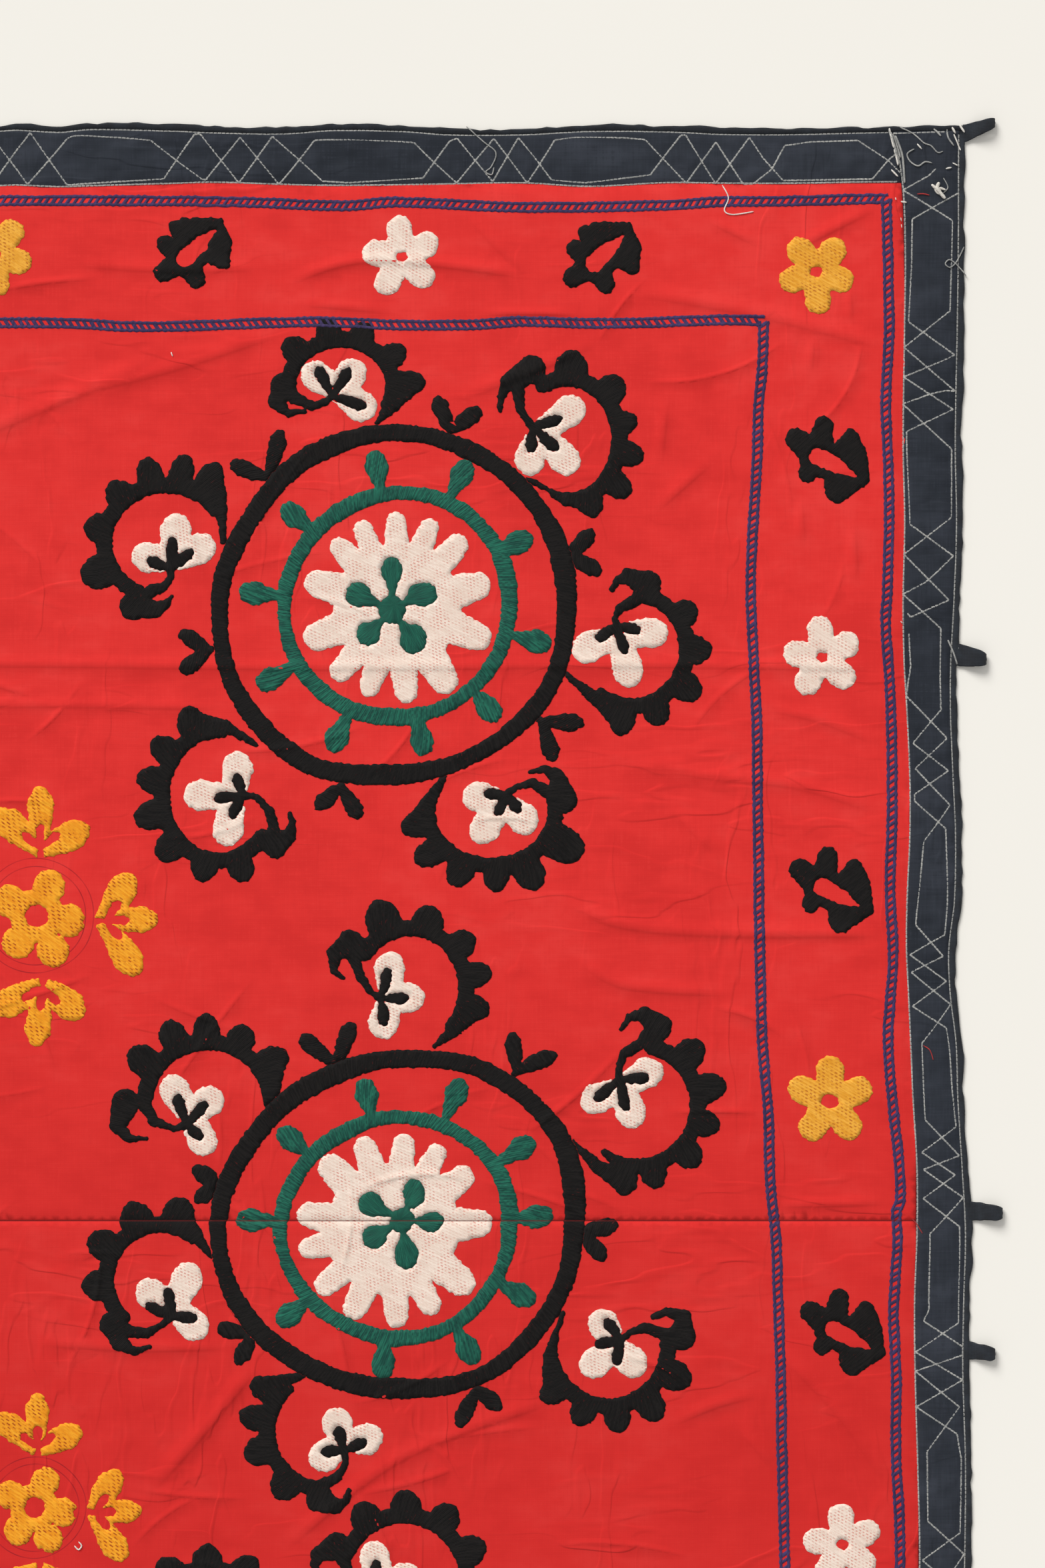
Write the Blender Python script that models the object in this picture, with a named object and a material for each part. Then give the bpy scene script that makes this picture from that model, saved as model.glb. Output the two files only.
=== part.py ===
"""A suzani lying face up: a red cotton field of two joined widths, a quilted dark border of
four strips, a narrow tape folded over the outer edge, and six tape loops on the right side.

Metres, +Z up. X runs across the cloth and Y up it. The cloth lies on the plane z = 0.
"""

import math

import bpy
from mathutils.geometry import delaunay_2d_cdt

# Driving sizes
CLOTH_WIDTH = 1.565
CLOTH_HEIGHT = 1.805
TOP_BORDER = 0.0485
SIDE_BORDER = 0.0470
PANEL_THICKNESS = 0.0015
BORDER_THICKNESS = 0.0014
QUILT_RISE = 0.0012
BINDING_WIDTH = 0.0045
BINDING_HEIGHT = 0.0026
TAPE_THICKNESS = 0.0012
LOOP_EYE_HEIGHT = 0.0054
GAP = 0.0003
MM = 0.001

# The loops make the right side reach further out, so the cloth's own middle is left of the origin.
CLOTH_OFFSET = -0.0123

# Distance between the points along an edge, and along a fold
EDGE_STEP = 0.030
FOLD_STEP = 0.032

# How many pieces the end of a strip is cut into
CORNER_STEPS = 4

# How the top edge wanders. The bottom edge and the left half repeat it.
# from the middle (m), outer edge and inner seam out from straight (mm)
TOP_EDGE = (
    (0.000, 2.4, -0.6),
    (0.037, 0.6, -2.0),
    (0.060, 2.8, -1.4),
    (0.125, 1.7, 0.6),
    (0.163, 0.1, 1.8),
    (0.221, -0.8, 0.0),
    (0.262, 2.0, -1.0),
    (0.317, 1.2, -0.4),
    (0.358, -1.6, 0.4),
    (0.418, -1.6, 1.3),
    (0.473, 1.2, -1.8),
    (0.537, 0.9, 1.4),
    (0.587, -1.3, 1.0),
    (0.640, -1.4, 0.9),
    (0.700, 0.0, 1.9),
    (0.782, 1.4, 2.4),
)

# How the right edge wanders. The left edge repeats it.
# up the cloth (m), outer edge and inner seam out from straight (mm)
SIDE_EDGE = (
    (-0.905, 0.0, 0.0),
    (-0.700, -1.5, 0.5),
    (-0.500, 2.0, 3.5),
    (-0.287, 5.7, 9.6),
    (-0.203, 6.5, 8.0),
    (-0.125, 4.3, 5.8),
    (-0.065, 5.1, 5.4),
    (-0.010, 6.5, 7.4),
    (0.045, 3.6, 7.4),
    (0.100, 0.2, 4.2),
    (0.145, -1.2, 2.3),
    (0.190, -6.4, 0.4),
    (0.225, -7.2, -1.2),
    (0.265, -2.6, -0.8),
    (0.320, -1.8, 1.6),
    (0.365, -3.8, 1.6),
    (0.420, -5.9, -0.8),
    (0.460, -5.7, -3.2),
    (0.510, -3.0, -4.2),
    (0.576, -0.8, -2.9),
    (0.640, -1.9, -4.2),
    (0.740, -0.2, -3.0),
    (0.800, 0.6, -2.4),
    (0.855, 0.9, -4.6),
    (0.905, 1.2, -13.4),
)

# The long quilted hexagons of the top strip, and of the side strips from the bottom up.
# where each starts and ends along its strip (m)
TOP_HEXAGONS = (
    (-0.720, -0.640),
    (-0.560, -0.455),
    (-0.365, -0.262),
    (-0.180, -0.075),
    (0.027, 0.133),
    (0.234, 0.345),
    (0.431, 0.535),
    (0.623, 0.720),
)
SIDE_HEXAGONS = (
    (-0.810, -0.707),
    (-0.628, -0.530),
    (-0.445, -0.348),
    (-0.263, -0.169),
    (-0.093, 0.010),
    (0.070, 0.164),
    (0.231, 0.331),
    (0.411, 0.503),
    (0.562, 0.657),
    (0.733, 0.835),
)
HEXAGON_SHOULDER = 0.021
LOZENGES_BETWEEN = 3
CELL_EDGE = 0.0042

# How far the hexagons and the lozenges reach from the middle of their strip, as shares of it
TOP_REACH = (0.38, 0.455)
SIDE_REACH = (0.335, 0.43)

# The folds that show from a step away, in the cloth's own millimetres from its middle.
# height, half width, the points that the crest runs through
FOLDS = (
    (2.4, 9, ((-640, 452), (-330, 455), (-60, 459), (250, 456), (520, 458), (712, 455))),
    (2.0, 8, ((-190, 421), (0, 425), (172, 423))),
    (2.6, 8, ((622, 12), (724, 15))),
    (3.0, 13, ((-130, 608), (-13, 655), (119, 710))),
    (2.6, 11, ((20, 677), (120, 700), (218, 732))),
    (2.4, 11, ((361, 677), (425, 700), (482, 726))),
    (2.2, 9, ((367, 836), (400, 800), (427, 776))),
    (3.0, 9, ((224, 773), (295, 792), (422, 779))),
    (2.0, 8, ((228, 757), (317, 749))),
    (2.0, 9, ((42, 790), (120, 784), (205, 786))),
    (2.4, 8, ((570, 826), (614, 804))),
    (2.6, 9, ((636, 798), (713, 837))),
    (3.0, 12, ((512, 765), (610, 748), (716, 721))),
    (2.2, 9, ((537, 677), (532, 622))),
    (2.4, 10, ((526, 584), (576, 628))),
    (2.2, 9, ((691, 578), (694, 523))),
    (2.4, 10, ((614, 424), (666, 412), (717, 391))),
    (3.0, 11, ((499, 380), (575, 366), (647, 358), (712, 337))),
    (2.2, 9, ((537, 345), (581, 298))),
    (3.2, 11, ((455, 265), (490, 246), (565, 237), (717, 236))),
    (2.6, 10, ((460, 221), (500, 194), (592, 187))),
    (4.0, 12, ((112, -222), (150, -180), (202, -116))),
    (3.0, 11, ((224, -269), (317, -197), (444, -148))),
    (2.4, 9, ((15, -101), (100, -106), (180, -104))),
    (4.0, 12, ((628, -106), (680, -160), (724, -225))),
    (2.4, 9, ((537, -170), (580, -152), (618, -143))),
    (2.8, 10, ((596, -168), (628, -208))),
    (2.4, 9, ((-650, -455), (-200, -459), (240, -455), (690, -458))),
    (3.0, 12, ((-560, 690), (-440, 650), (-330, 655))),
    (2.6, 11, ((-700, 250), (-560, 236), (-450, 250))),
    (3.0, 12, ((-650, -150), (-520, -190), (-440, -270))),
    (3.0, 12, ((130, -620), (250, -650), (400, -625))),
    (2.6, 11, ((-420, -760), (-300, -720), (-180, -735))),
)

# The loops, in millimetres: up the cloth, length, width at the root and at the tip, and how far
# the tip lies above the root
LOOPS = (
    (897.0, 24.5, 14.0, 8.0, 8.5),
    (467.0, 24.0, 18.5, 11.0, -4.0),
    (8.0, 26.0, 16.0, 10.5, -1.5),
    (-107.0, 21.5, 15.0, 10.0, -2.5),
    (-459.0, 24.0, 17.0, 10.5, 2.0),
    (-897.0, 24.5, 14.0, 8.0, -8.5),
)

# Name: base colour, roughness
FINISHES = {
    "red_cotton": ((0.70, 0.030, 0.028, 1.0), 0.85),
    "border_cotton": ((0.032, 0.036, 0.046, 1.0), 0.85),
    "edge_tape": ((0.014, 0.015, 0.020, 1.0), 0.80),
}


def clear_scene():
    for thing in list(bpy.data.objects):
        bpy.data.objects.remove(thing, do_unlink=True)


def smooth_value(table, place, column):
    """Reads a column of an edge table at a place along the edge, in metres."""
    rows = [table[0], *table, table[-1]]
    for before, start, end, after in zip(rows, rows[1:], rows[2:], rows[3:]):
        if place <= end[0]:
            break
    span = end[0] - start[0]
    share = min(max((place - start[0]) / span, 0.0), 1.0)
    slope_start = (end[column] - before[column]) / (end[0] - before[0]) * span
    slope_end = (after[column] - start[column]) / (after[0] - start[0]) * span
    square = share * share
    cube = square * share
    value = (2 * cube - 3 * square + 1) * start[column] + (3 * square - 2 * cube) * end[column]
    value += (cube - 2 * square + share) * slope_start + (cube - square) * slope_end
    return value * MM


def top_outer(x):
    return CLOTH_HEIGHT / 2 + smooth_value(TOP_EDGE, abs(x), 1)


def top_inner(x):
    return CLOTH_HEIGHT / 2 - TOP_BORDER + smooth_value(TOP_EDGE, abs(x), 2)


def side_outer(y):
    return CLOTH_WIDTH / 2 + smooth_value(SIDE_EDGE, y, 1)


def side_inner(y):
    return CLOTH_WIDTH / 2 - SIDE_BORDER + smooth_value(SIDE_EDGE, y, 2)


def blend(first, second, share):
    return first + (second - first) * share


def top_point(along, across, sign=1):
    """A point of the top strip: along it from -1 to 1, and across from 0, inside, to 1. The
    bottom strip, with sign -1, is given the same way up."""
    y = CLOTH_HEIGHT / 2 - TOP_BORDER * (1 - across)
    for _ in range(2):
        x = along * (side_inner(sign * y) - GAP)
        y = blend(top_inner(x) + GAP, top_outer(x) - BINDING_WIDTH - GAP, across)
    return x, y


def side_point(along, across):
    """A point of the right strip: along it from -1 to 1, and across from 0, inside, to 1."""
    y = along * CLOTH_HEIGHT / 2
    for _ in range(2):
        x = blend(side_inner(y), side_outer(y) - BINDING_WIDTH - GAP, across)
        y = along * (top_outer(x) - BINDING_WIDTH - GAP)
    return x, y


def shares(length, corner):
    """Places from -1 to 1 along an edge: even ones, and close ones in a corner of this size."""
    count = round(length / EDGE_STEP)
    even = [2 * step / count - 1 for step in range(count + 1)]
    reach = 2 * corner / length
    kept = [share for share in even if abs(share) < 1 - reach - EDGE_STEP / length]
    close = [1 - reach * step / CORNER_STEPS for step in range(CORNER_STEPS + 1)]
    return [-share for share in close] + kept + list(reversed(close))


TOP_SHARES = shares(CLOTH_WIDTH - 2 * SIDE_BORDER, TOP_BORDER)
SIDE_SHARES = shares(CLOTH_HEIGHT, TOP_BORDER)
END_SHARES = [step / CORNER_STEPS for step in range(1, CORNER_STEPS)]


def ring_edges(first, count):
    return [(first + step, first + (step + 1) % count) for step in range(count)]


def line_edges(first, count):
    return [(first + step, first + step + 1) for step in range(count - 1)]


def sheet_mesh(name, outline, lines, rings, underside, thickness):
    """A closed sheet over an outline, with the lines and rings as edges of its mesh."""
    points = list(outline)
    edges = ring_edges(0, len(outline))
    for ring in rings:
        edges += ring_edges(len(points), len(ring))
        points += ring
    for line in lines:
        edges += line_edges(len(points), len(line))
        points += line
    flat, _, triangles, _, _, _ = delaunay_2d_cdt(points, edges, [], 1, 1e-6)
    count = len(flat)
    lower = [(p.x, p.y, underside(p.x, p.y)) for p in flat]
    upper = [(p.x, p.y, underside(p.x, p.y) + thickness(p.x, p.y)) for p in flat]
    faces = [tuple(corner + count for corner in triangle) for triangle in triangles]
    faces += [tuple(reversed(triangle)) for triangle in triangles]
    faces += rim_faces(triangles, count)
    mesh = bpy.data.meshes.new(name)
    mesh.from_pydata(lower + upper, [], faces)
    return mesh


def rim_faces(triangles, count):
    """The upright faces between the two layers, one for each edge that has one triangle."""
    directed = set()
    for triangle in triangles:
        for start, end in zip(triangle, [*triangle[1:], triangle[0]]):
            directed.add((start, end))
    rim = [edge for edge in sorted(directed) if (edge[1], edge[0]) not in directed]
    return [(start, end, end + count, start + count) for start, end in rim]


def make_material(name):
    colour, roughness = FINISHES[name]
    material = bpy.data.materials.new(name)
    material.use_nodes = True
    shader = material.node_tree.nodes["Principled BSDF"]
    shader.inputs["Base Color"].default_value = colour
    shader.inputs["Roughness"].default_value = roughness
    shader.inputs["Metallic"].default_value = 0.0
    return material


def add_object(name, mesh, finish, parent):
    thing = bpy.data.objects.new(name, mesh)
    mesh.materials.append(make_material(finish))
    thing.parent = parent
    bpy.context.collection.objects.link(thing)
    return thing


def resample(points, step):
    """Even points along a smooth line through the given ones."""
    dense = []
    padded = [points[0], *points, points[-1]]
    for before, start, end, after in zip(padded, padded[1:], padded[2:], padded[3:]):
        pieces = max(1, round(math.dist(start, end) / step))
        for piece in range(pieces):
            share = piece / pieces
            dense.append(spline_point(before, start, end, after, share))
    dense.append(points[-1])
    return dense


def spline_point(before, start, end, after, share):
    square = share * share
    cube = square * share
    return tuple(
        0.5 * (2 * b + (c - a) * share + (2 * a - 5 * b + 4 * c - d) * square + (3 * b - a - 3 * c + d) * cube)
        for a, b, c, d in zip(before, start, end, after)
    )


class Fold:
    """A soft ridge along a smooth line, which fades out at both ends."""

    FADE = 0.035
    SHOULDER = 0.42

    def __init__(self, height, half_width, points):
        self.height = height * MM
        self.half_width = half_width * MM
        crest = [(x * MM, y * MM) for x, y in points]
        self.crest = resample(crest, FOLD_STEP)
        self.length = sum(math.dist(a, b) for a, b in zip(self.crest, self.crest[1:]))

    def beside(self, share):
        """The crest moved sideways by a share of the half width, without its ends."""
        moved = []
        for before, point, after in zip(self.crest, self.crest[1:], self.crest[2:]):
            run = math.dist(before, after)
            across = (-(after[1] - before[1]) / run, (after[0] - before[0]) / run)
            reach = share * self.half_width
            moved.append((point[0] + across[0] * reach, point[1] + across[1] * reach))
        return moved

    def lines(self):
        """The mesh lines that carry the ridge: crest, shoulders and foot."""
        shoulders = [self.beside(-self.SHOULDER), self.beside(self.SHOULDER)]
        left = [self.crest[0], *self.beside(1), self.crest[-1]]
        right = [self.crest[0], *self.beside(-1), self.crest[-1]]
        return [self.crest, left, right, *[line for line in shoulders if len(line) > 1]]

    def rise(self, x, y):
        """How far this fold lifts the cloth at a point."""
        best = 0.0
        walked = 0.0
        for start, end in zip(self.crest, self.crest[1:]):
            run = math.dist(start, end)
            share = ((x - start[0]) * (end[0] - start[0]) + (y - start[1]) * (end[1] - start[1])) / run**2
            share = min(max(share, 0.0), 1.0)
            nearest = (blend(start[0], end[0], share), blend(start[1], end[1], share))
            away = math.dist((x, y), nearest) / self.half_width
            place = walked + share * run
            fade = min(1.0, place / self.FADE, (self.length - place) / self.FADE)
            if away < 1.0:
                best = max(best, self.height * fade * (0.5 + 0.5 * math.cos(math.pi * away)))
            walked += run
        return best


def cloth_rise(folds, x, y):
    return max((fold.rise(x, y) for fold in folds), default=0.0)


def panel_outline(sign):
    """The outline of the upper panel for sign 1, or of the lower one for -1."""
    seam = sign * GAP / 2
    top = [top_point(share, 0, sign) for share in TOP_SHARES]
    corner_y = top[-1][1]
    side = []
    for share in SIDE_SHARES:
        x, y = side_point(share, 0)
        if EDGE_STEP / 3 < sign * y < corner_y - MM:
            side.append((x - GAP, y))
    side.sort(key=lambda point: sign * point[1])
    top = [(x, sign * (y - GAP)) for x, y in reversed(top)]
    seam_x = side_inner(0) - GAP
    right = [(seam_x, seam), *side]
    left = [(-x, y) for x, y in reversed(right)]
    outline = right + top + left
    return outline if sign > 0 else list(reversed(outline))


def make_panel(name, sign, parent):
    """One width of the red field, with its folds."""
    folds = [Fold(*row) for row in FOLDS if sign * row[2][0][1] > 0]
    lines = [line for fold in folds for line in fold.lines()]
    mesh = sheet_mesh(
        name,
        panel_outline(sign),
        lines,
        [],
        lambda x, y: cloth_rise(folds, x, y),
        lambda x, y: PANEL_THICKNESS,
    )
    return add_object(name, mesh, "red_cotton", parent)


def quilt_cells(hexagons, last, reach):
    """The quilted hexagons and lozenges of a strip, as outlines of (along, across) in metres
    and in shares from -0.5 to 0.5."""
    hexagon_reach, lozenge_reach = reach
    cells = []
    for number, (start, end) in enumerate(hexagons):
        left = start + HEXAGON_SHOULDER
        right = end - HEXAGON_SHOULDER
        cells.append(
            (
                (start, 0),
                (left, -hexagon_reach),
                (right, -hexagon_reach),
                (end, 0),
                (right, hexagon_reach),
                (left, hexagon_reach),
            )
        )
        following = hexagons[number + 1][0] if number + 1 < len(hexagons) else last
        if following > end:
            cells += lozenges(end, following, lozenge_reach)
    return cells


def lozenges(start, end, reach):
    width = (end - start) / LOZENGES_BETWEEN
    row = []
    for number in range(LOZENGES_BETWEEN):
        left = start + number * width
        middle = left + width / 2
        row.append(((left, 0), (middle, -reach), (left + width, 0), (middle, reach)))
    return row


def inset_cell(cell, strip_width, inset):
    """A cell's outline moved inwards by an equal distance along each edge."""
    points = [(along, across * strip_width) for along, across in cell]
    lines = []
    for start, end in zip(points, [*points[1:], points[0]]):
        run = math.dist(start, end)
        normal = (-(end[1] - start[1]) / run, (end[0] - start[0]) / run)
        lines.append((normal, normal[0] * start[0] + normal[1] * start[1] + inset))
    moved = []
    for (first, reach), (second, other) in zip([lines[-1], *lines[:-1]], lines):
        cross = first[0] * second[1] - first[1] * second[0]
        x = (reach * second[1] - other * first[1]) / cross
        y = (first[0] * other - second[0] * reach) / cross
        moved.append((x, y / strip_width))
    return moved


def strip_outline(place, places):
    inside = [place(share, 0) for share in places]
    end = [place(1, share) for share in END_SHARES]
    outside = [place(share, 1) for share in reversed(places)]
    start = [place(-1, share) for share in reversed(END_SHARES)]
    return inside + end + outside + start


def counter_clockwise(points):
    area = sum(a[0] * b[1] - b[0] * a[1] for a, b in zip(points, [*points[1:], points[0]]))
    return points if area > 0 else list(reversed(points))


def make_strip(name, place, places, cells, half_length, strip_width, turn, parent):
    """A border strip with its quilted cells raised. turn maps the strip to its own side."""

    def world(along, across):
        return turn(*place(along / half_length, across + 0.5))

    stitched = []
    raised = []
    for cell in cells:
        stitched.append([world(along, across) for along, across in cell])
        inner = inset_cell(cell, strip_width, CELL_EDGE)
        raised.append([world(along, across) for along, across in inner])
    high = {(round(x, 5), round(y, 5)) for ring in raised for x, y in ring}

    def thickness(x, y):
        return BORDER_THICKNESS + (QUILT_RISE if is_high(x, y) else 0.0)

    def is_high(x, y):
        close = 2e-5
        return any(abs(x - a) < close and abs(y - b) < close for a, b in high)

    outline = counter_clockwise([turn(*point) for point in strip_outline(place, places)])
    mesh = sheet_mesh(name, outline, [], stitched + raised, lambda x, y: 0.0, thickness)
    return add_object(name, mesh, "border_cotton", parent)


def tape_mesh(name, inner, outer):
    """A folded tape between two edge lines, with a rounded outer side."""
    section = ((0, 0), (0.9, 0), (1, 0.5), (0.86, 0.92), (0, 1))
    count = len(section)
    points = []
    for inside, outside in zip(inner, outer):
        for across, up in section:
            x = blend(inside[0], outside[0], across)
            y = blend(inside[1], outside[1], across)
            points.append((x, y, up * BINDING_HEIGHT))
    faces = [tuple(range(count)), tuple(reversed(range(len(points) - count, len(points))))]
    for ring in range(len(inner) - 1):
        first = ring * count
        for step in range(count):
            following = (step + 1) % count
            faces.append((first + step, first + count + step, first + count + following, first + following))
    mesh = bpy.data.meshes.new(name)
    mesh.from_pydata(points, [], faces)
    return mesh


def face_outwards(mesh):
    """Turns the faces round where they point inwards, judged by the signed volume."""
    volume = 0.0
    for face in mesh.polygons:
        corners = [mesh.vertices[index].co for index in face.vertices]
        for second, third in zip(corners[1:], corners[2:]):
            volume += corners[0].dot(second.cross(third))
    if volume < 0:
        mesh.flip_normals()


def make_top_binding(name, sign, parent):
    """The tape over the whole top edge, or over the bottom one for sign -1."""
    strip = [top_point(share, 1, sign)[0] for share in TOP_SHARES]
    corner = side_outer(sign * CLOTH_HEIGHT / 2)
    extra = [blend(strip[-1], corner, share) for share in (0.5, 1.0)]
    along = [-x for x in reversed(extra)] + strip + extra
    outer = [(x, sign * top_outer(x)) for x in along]
    inner = [(x, sign * (top_outer(x) - BINDING_WIDTH)) for x in along]
    mesh = tape_mesh(name, inner, outer)
    face_outwards(mesh)
    return add_object(name, mesh, "edge_tape", parent)


def make_side_binding(name, sign, parent):
    """The tape down the right edge, or down the left one for sign -1."""
    inner = []
    outer = []
    for share in SIDE_SHARES:
        x, y = side_point(share, 1)
        inner.append((sign * (x + GAP), y))
        outer.append((sign * (x + GAP + BINDING_WIDTH), y))
    mesh = tape_mesh(name, inner, outer)
    face_outwards(mesh)
    return add_object(name, mesh, "edge_tape", parent)


def loop_rings(length):
    """The loop's outer and inner outline from the side, as (out, up), point for point."""
    eye_out = 0.36 * length
    eye_up = LOOP_EYE_HEIGHT / 2
    middle = length - TAPE_THICKNESS - eye_out
    centre = TAPE_THICKNESS + eye_up
    root_steps = {7: (0.0, 2.0), 8: (0.0, 1.0), 9: (0.0, 0.0)}
    outer = []
    inner = []
    for step in range(16):
        angle = math.radians(22.5 * step)
        inner.append((middle + eye_out * math.cos(angle), centre + eye_up * math.sin(angle)))
        if step in root_steps:
            out, up = root_steps[step]
            outer.append((out, up * TAPE_THICKNESS))
            continue
        out = middle + (eye_out + TAPE_THICKNESS) * math.cos(angle)
        up = centre + (eye_up + TAPE_THICKNESS) * math.sin(angle)
        outer.append((out, 0.0 if 10 <= step <= 13 else up))
    return outer, inner


def make_loop(name, row, parent):
    """A folded tape loop with an open eye, its root along the edge of the cloth."""
    up_cloth, length, root_width, tip_width, tip_shift = [value * MM for value in row]
    outer, inner = loop_rings(length)
    count = len(outer)
    points = []
    for ring in (outer, inner):
        for side in (-0.5, 0.5):
            for out, up in ring:
                width = blend(root_width, tip_width, out / length)
                x = side_outer(up_cloth) + 2 * GAP + out
                y = up_cloth + tip_shift * out / length + side * width
                points.append((x, y, up))
    faces = []
    outer_low, outer_high, inner_low, inner_high = (count * ring for ring in range(4))
    for step in range(count):
        following = (step + 1) % count
        for first, second in (
            (outer_low, outer_high),
            (outer_high, inner_high),
            (inner_high, inner_low),
            (inner_low, outer_low),
        ):
            faces.append((first + step, first + following, second + following, second + step))
    mesh = bpy.data.meshes.new(name)
    mesh.from_pydata(points, [], faces)
    face_outwards(mesh)
    return add_object(name, mesh, "edge_tape", parent)


def make_borders(parent):
    side_half = CLOTH_HEIGHT / 2
    top_half = CLOTH_WIDTH / 2 - SIDE_BORDER
    side_cells = quilt_cells(SIDE_HEXAGONS, SIDE_HEXAGONS[-1][1], SIDE_REACH)
    top_cells = quilt_cells(TOP_HEXAGONS, TOP_HEXAGONS[-1][1], TOP_REACH)
    for name, turn in (
        ("border_right", lambda x, y: (x, y)),
        ("border_left", lambda x, y: (-x, y)),
    ):
        make_strip(name, side_point, SIDE_SHARES, side_cells, side_half, SIDE_BORDER, turn, parent)
    for name, sign in (("border_top", 1), ("border_bottom", -1)):

        def place(along, across, sign=sign):
            return top_point(along, across, sign)

        def turn(x, y, sign=sign):
            return x, sign * y

        make_strip(name, place, TOP_SHARES, top_cells, top_half, TOP_BORDER, turn, parent)


def main():
    clear_scene()
    cloth = bpy.data.objects.new("cloth_middle", None)
    cloth.location = (CLOTH_OFFSET, 0, 0)
    bpy.context.collection.objects.link(cloth)
    make_panel("panel_upper", 1, cloth)
    make_panel("panel_lower", -1, cloth)
    make_borders(cloth)
    make_top_binding("binding_top", 1, cloth)
    make_top_binding("binding_bottom", -1, cloth)
    make_side_binding("binding_right", 1, cloth)
    make_side_binding("binding_left", -1, cloth)
    for number, row in enumerate(LOOPS, 1):
        make_loop(f"loop_{number}", row, cloth)


main()
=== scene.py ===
import math

import bpy
import numpy as np
from mathutils import Matrix
from mathutils.bvhtree import BVHTree
from mathutils.geometry import delaunay_2d_cdt


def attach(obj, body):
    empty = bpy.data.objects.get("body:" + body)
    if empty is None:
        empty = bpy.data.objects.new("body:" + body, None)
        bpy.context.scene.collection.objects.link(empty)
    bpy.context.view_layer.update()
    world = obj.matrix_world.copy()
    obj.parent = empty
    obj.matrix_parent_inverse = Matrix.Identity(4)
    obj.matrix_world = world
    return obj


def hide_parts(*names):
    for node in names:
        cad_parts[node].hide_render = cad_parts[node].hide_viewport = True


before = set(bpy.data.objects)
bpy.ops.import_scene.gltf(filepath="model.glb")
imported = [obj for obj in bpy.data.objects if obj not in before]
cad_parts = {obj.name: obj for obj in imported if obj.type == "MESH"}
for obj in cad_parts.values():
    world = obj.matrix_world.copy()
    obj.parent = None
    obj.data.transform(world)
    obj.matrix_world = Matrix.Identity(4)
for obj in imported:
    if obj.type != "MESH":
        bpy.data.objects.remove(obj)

MM = 0.001

# Sizes of the cloth, in metres, the same as the solids have
CLOTH_WIDTH = 1.565
CLOTH_HEIGHT = 1.805
TOP_BORDER = 0.0485
SIDE_BORDER = 0.0470
PANEL_THICKNESS = 0.0015
BORDER_THICKNESS = 0.0014
QUILT_RISE = 0.0012
BINDING_WIDTH = 0.0045
BINDING_HEIGHT = 0.0026
TAPE_THICKNESS = 0.0012
LOOP_EYE_HEIGHT = 0.0054
CLOTH_OFFSET = -0.0123

# Mesh steps, in metres
PANEL_STEP = 0.0060
STRIP_STEP = 0.0030
TAPE_STEP = 0.0042
SEAM_LIP = 0.0022

# The plain grid of the red cloth leaves out the cells that hold points of a fold: the cells' size
# in millimetres, and how many there are up and across
CREST_CELL = 3.2
CREST_CELLS = (600, 700)

# Embroidery, in millimetres
CELL = 1.1
RING_STEP = 1.1
FILL_STEP = 3.8
FILL_CLEARANCE = 1.5
EDGE_RISE = 0.27
FULL_RISE = 0.31
RISE_DEPTH = 1.5
SKIRT_DROP = 0.5
SEAM_GROOVE = 0.9
SEAM_STEP = 2.2
SEAM_SHIFT = 1.1

# The black band of a scroll: half widths at its root and beyond, and where it is full, in degrees
BAND_ROOT = 3.0
BAND_HALF = 6.8
BAND_TAPER = 22
LOBE_SHARE = 0.385
TWIG_LEAF = 7.3
TULIP_LEAF = 3.7

# The left column of medallions stands this far from the right one, in millimetres
LEFT_COLUMN = -600

# The photograph's height in pixels, and how much of the cloth each pixel shows
PHOTO_HEIGHT = 2352
METRES_PER_PIXEL = 0.00055
LENS = 85.0
SENSOR = 36.0
CAMERA_AIM = (0.4060, 0.3603, PANEL_THICKNESS)

# The stage: the floor's half size and how far it lies below, in metres, and the light
FLOOR_HALF = 6.0
FLOOR_DROP = 0.0002
SUN_STRENGTH = 2.76
SUN_SPREAD = 30
SUN_TURN = (-44, -38, 0)
SUN_COLOUR = (1.0, 0.99, 0.97)
SKY_STRENGTH = 0.50
SKY_COLOUR = (1.0, 0.995, 0.985, 1.0)

# How the top edge wanders. The bottom edge and the left half repeat it.
# from the middle (m), outer edge and inner seam out from straight (mm)
TOP_EDGE = (
    (0.000, 2.4, -0.6),
    (0.037, 0.6, -2.0),
    (0.060, 2.8, -1.4),
    (0.125, 1.7, 0.6),
    (0.163, 0.1, 1.8),
    (0.221, -0.8, 0.0),
    (0.262, 2.0, -1.0),
    (0.317, 1.2, -0.4),
    (0.358, -1.6, 0.4),
    (0.418, -1.6, 1.3),
    (0.473, 1.2, -1.8),
    (0.537, 0.9, 1.4),
    (0.587, -1.3, 1.0),
    (0.640, -1.4, 0.9),
    (0.700, 0.0, 1.9),
    (0.782, 1.4, 2.4),
)

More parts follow.
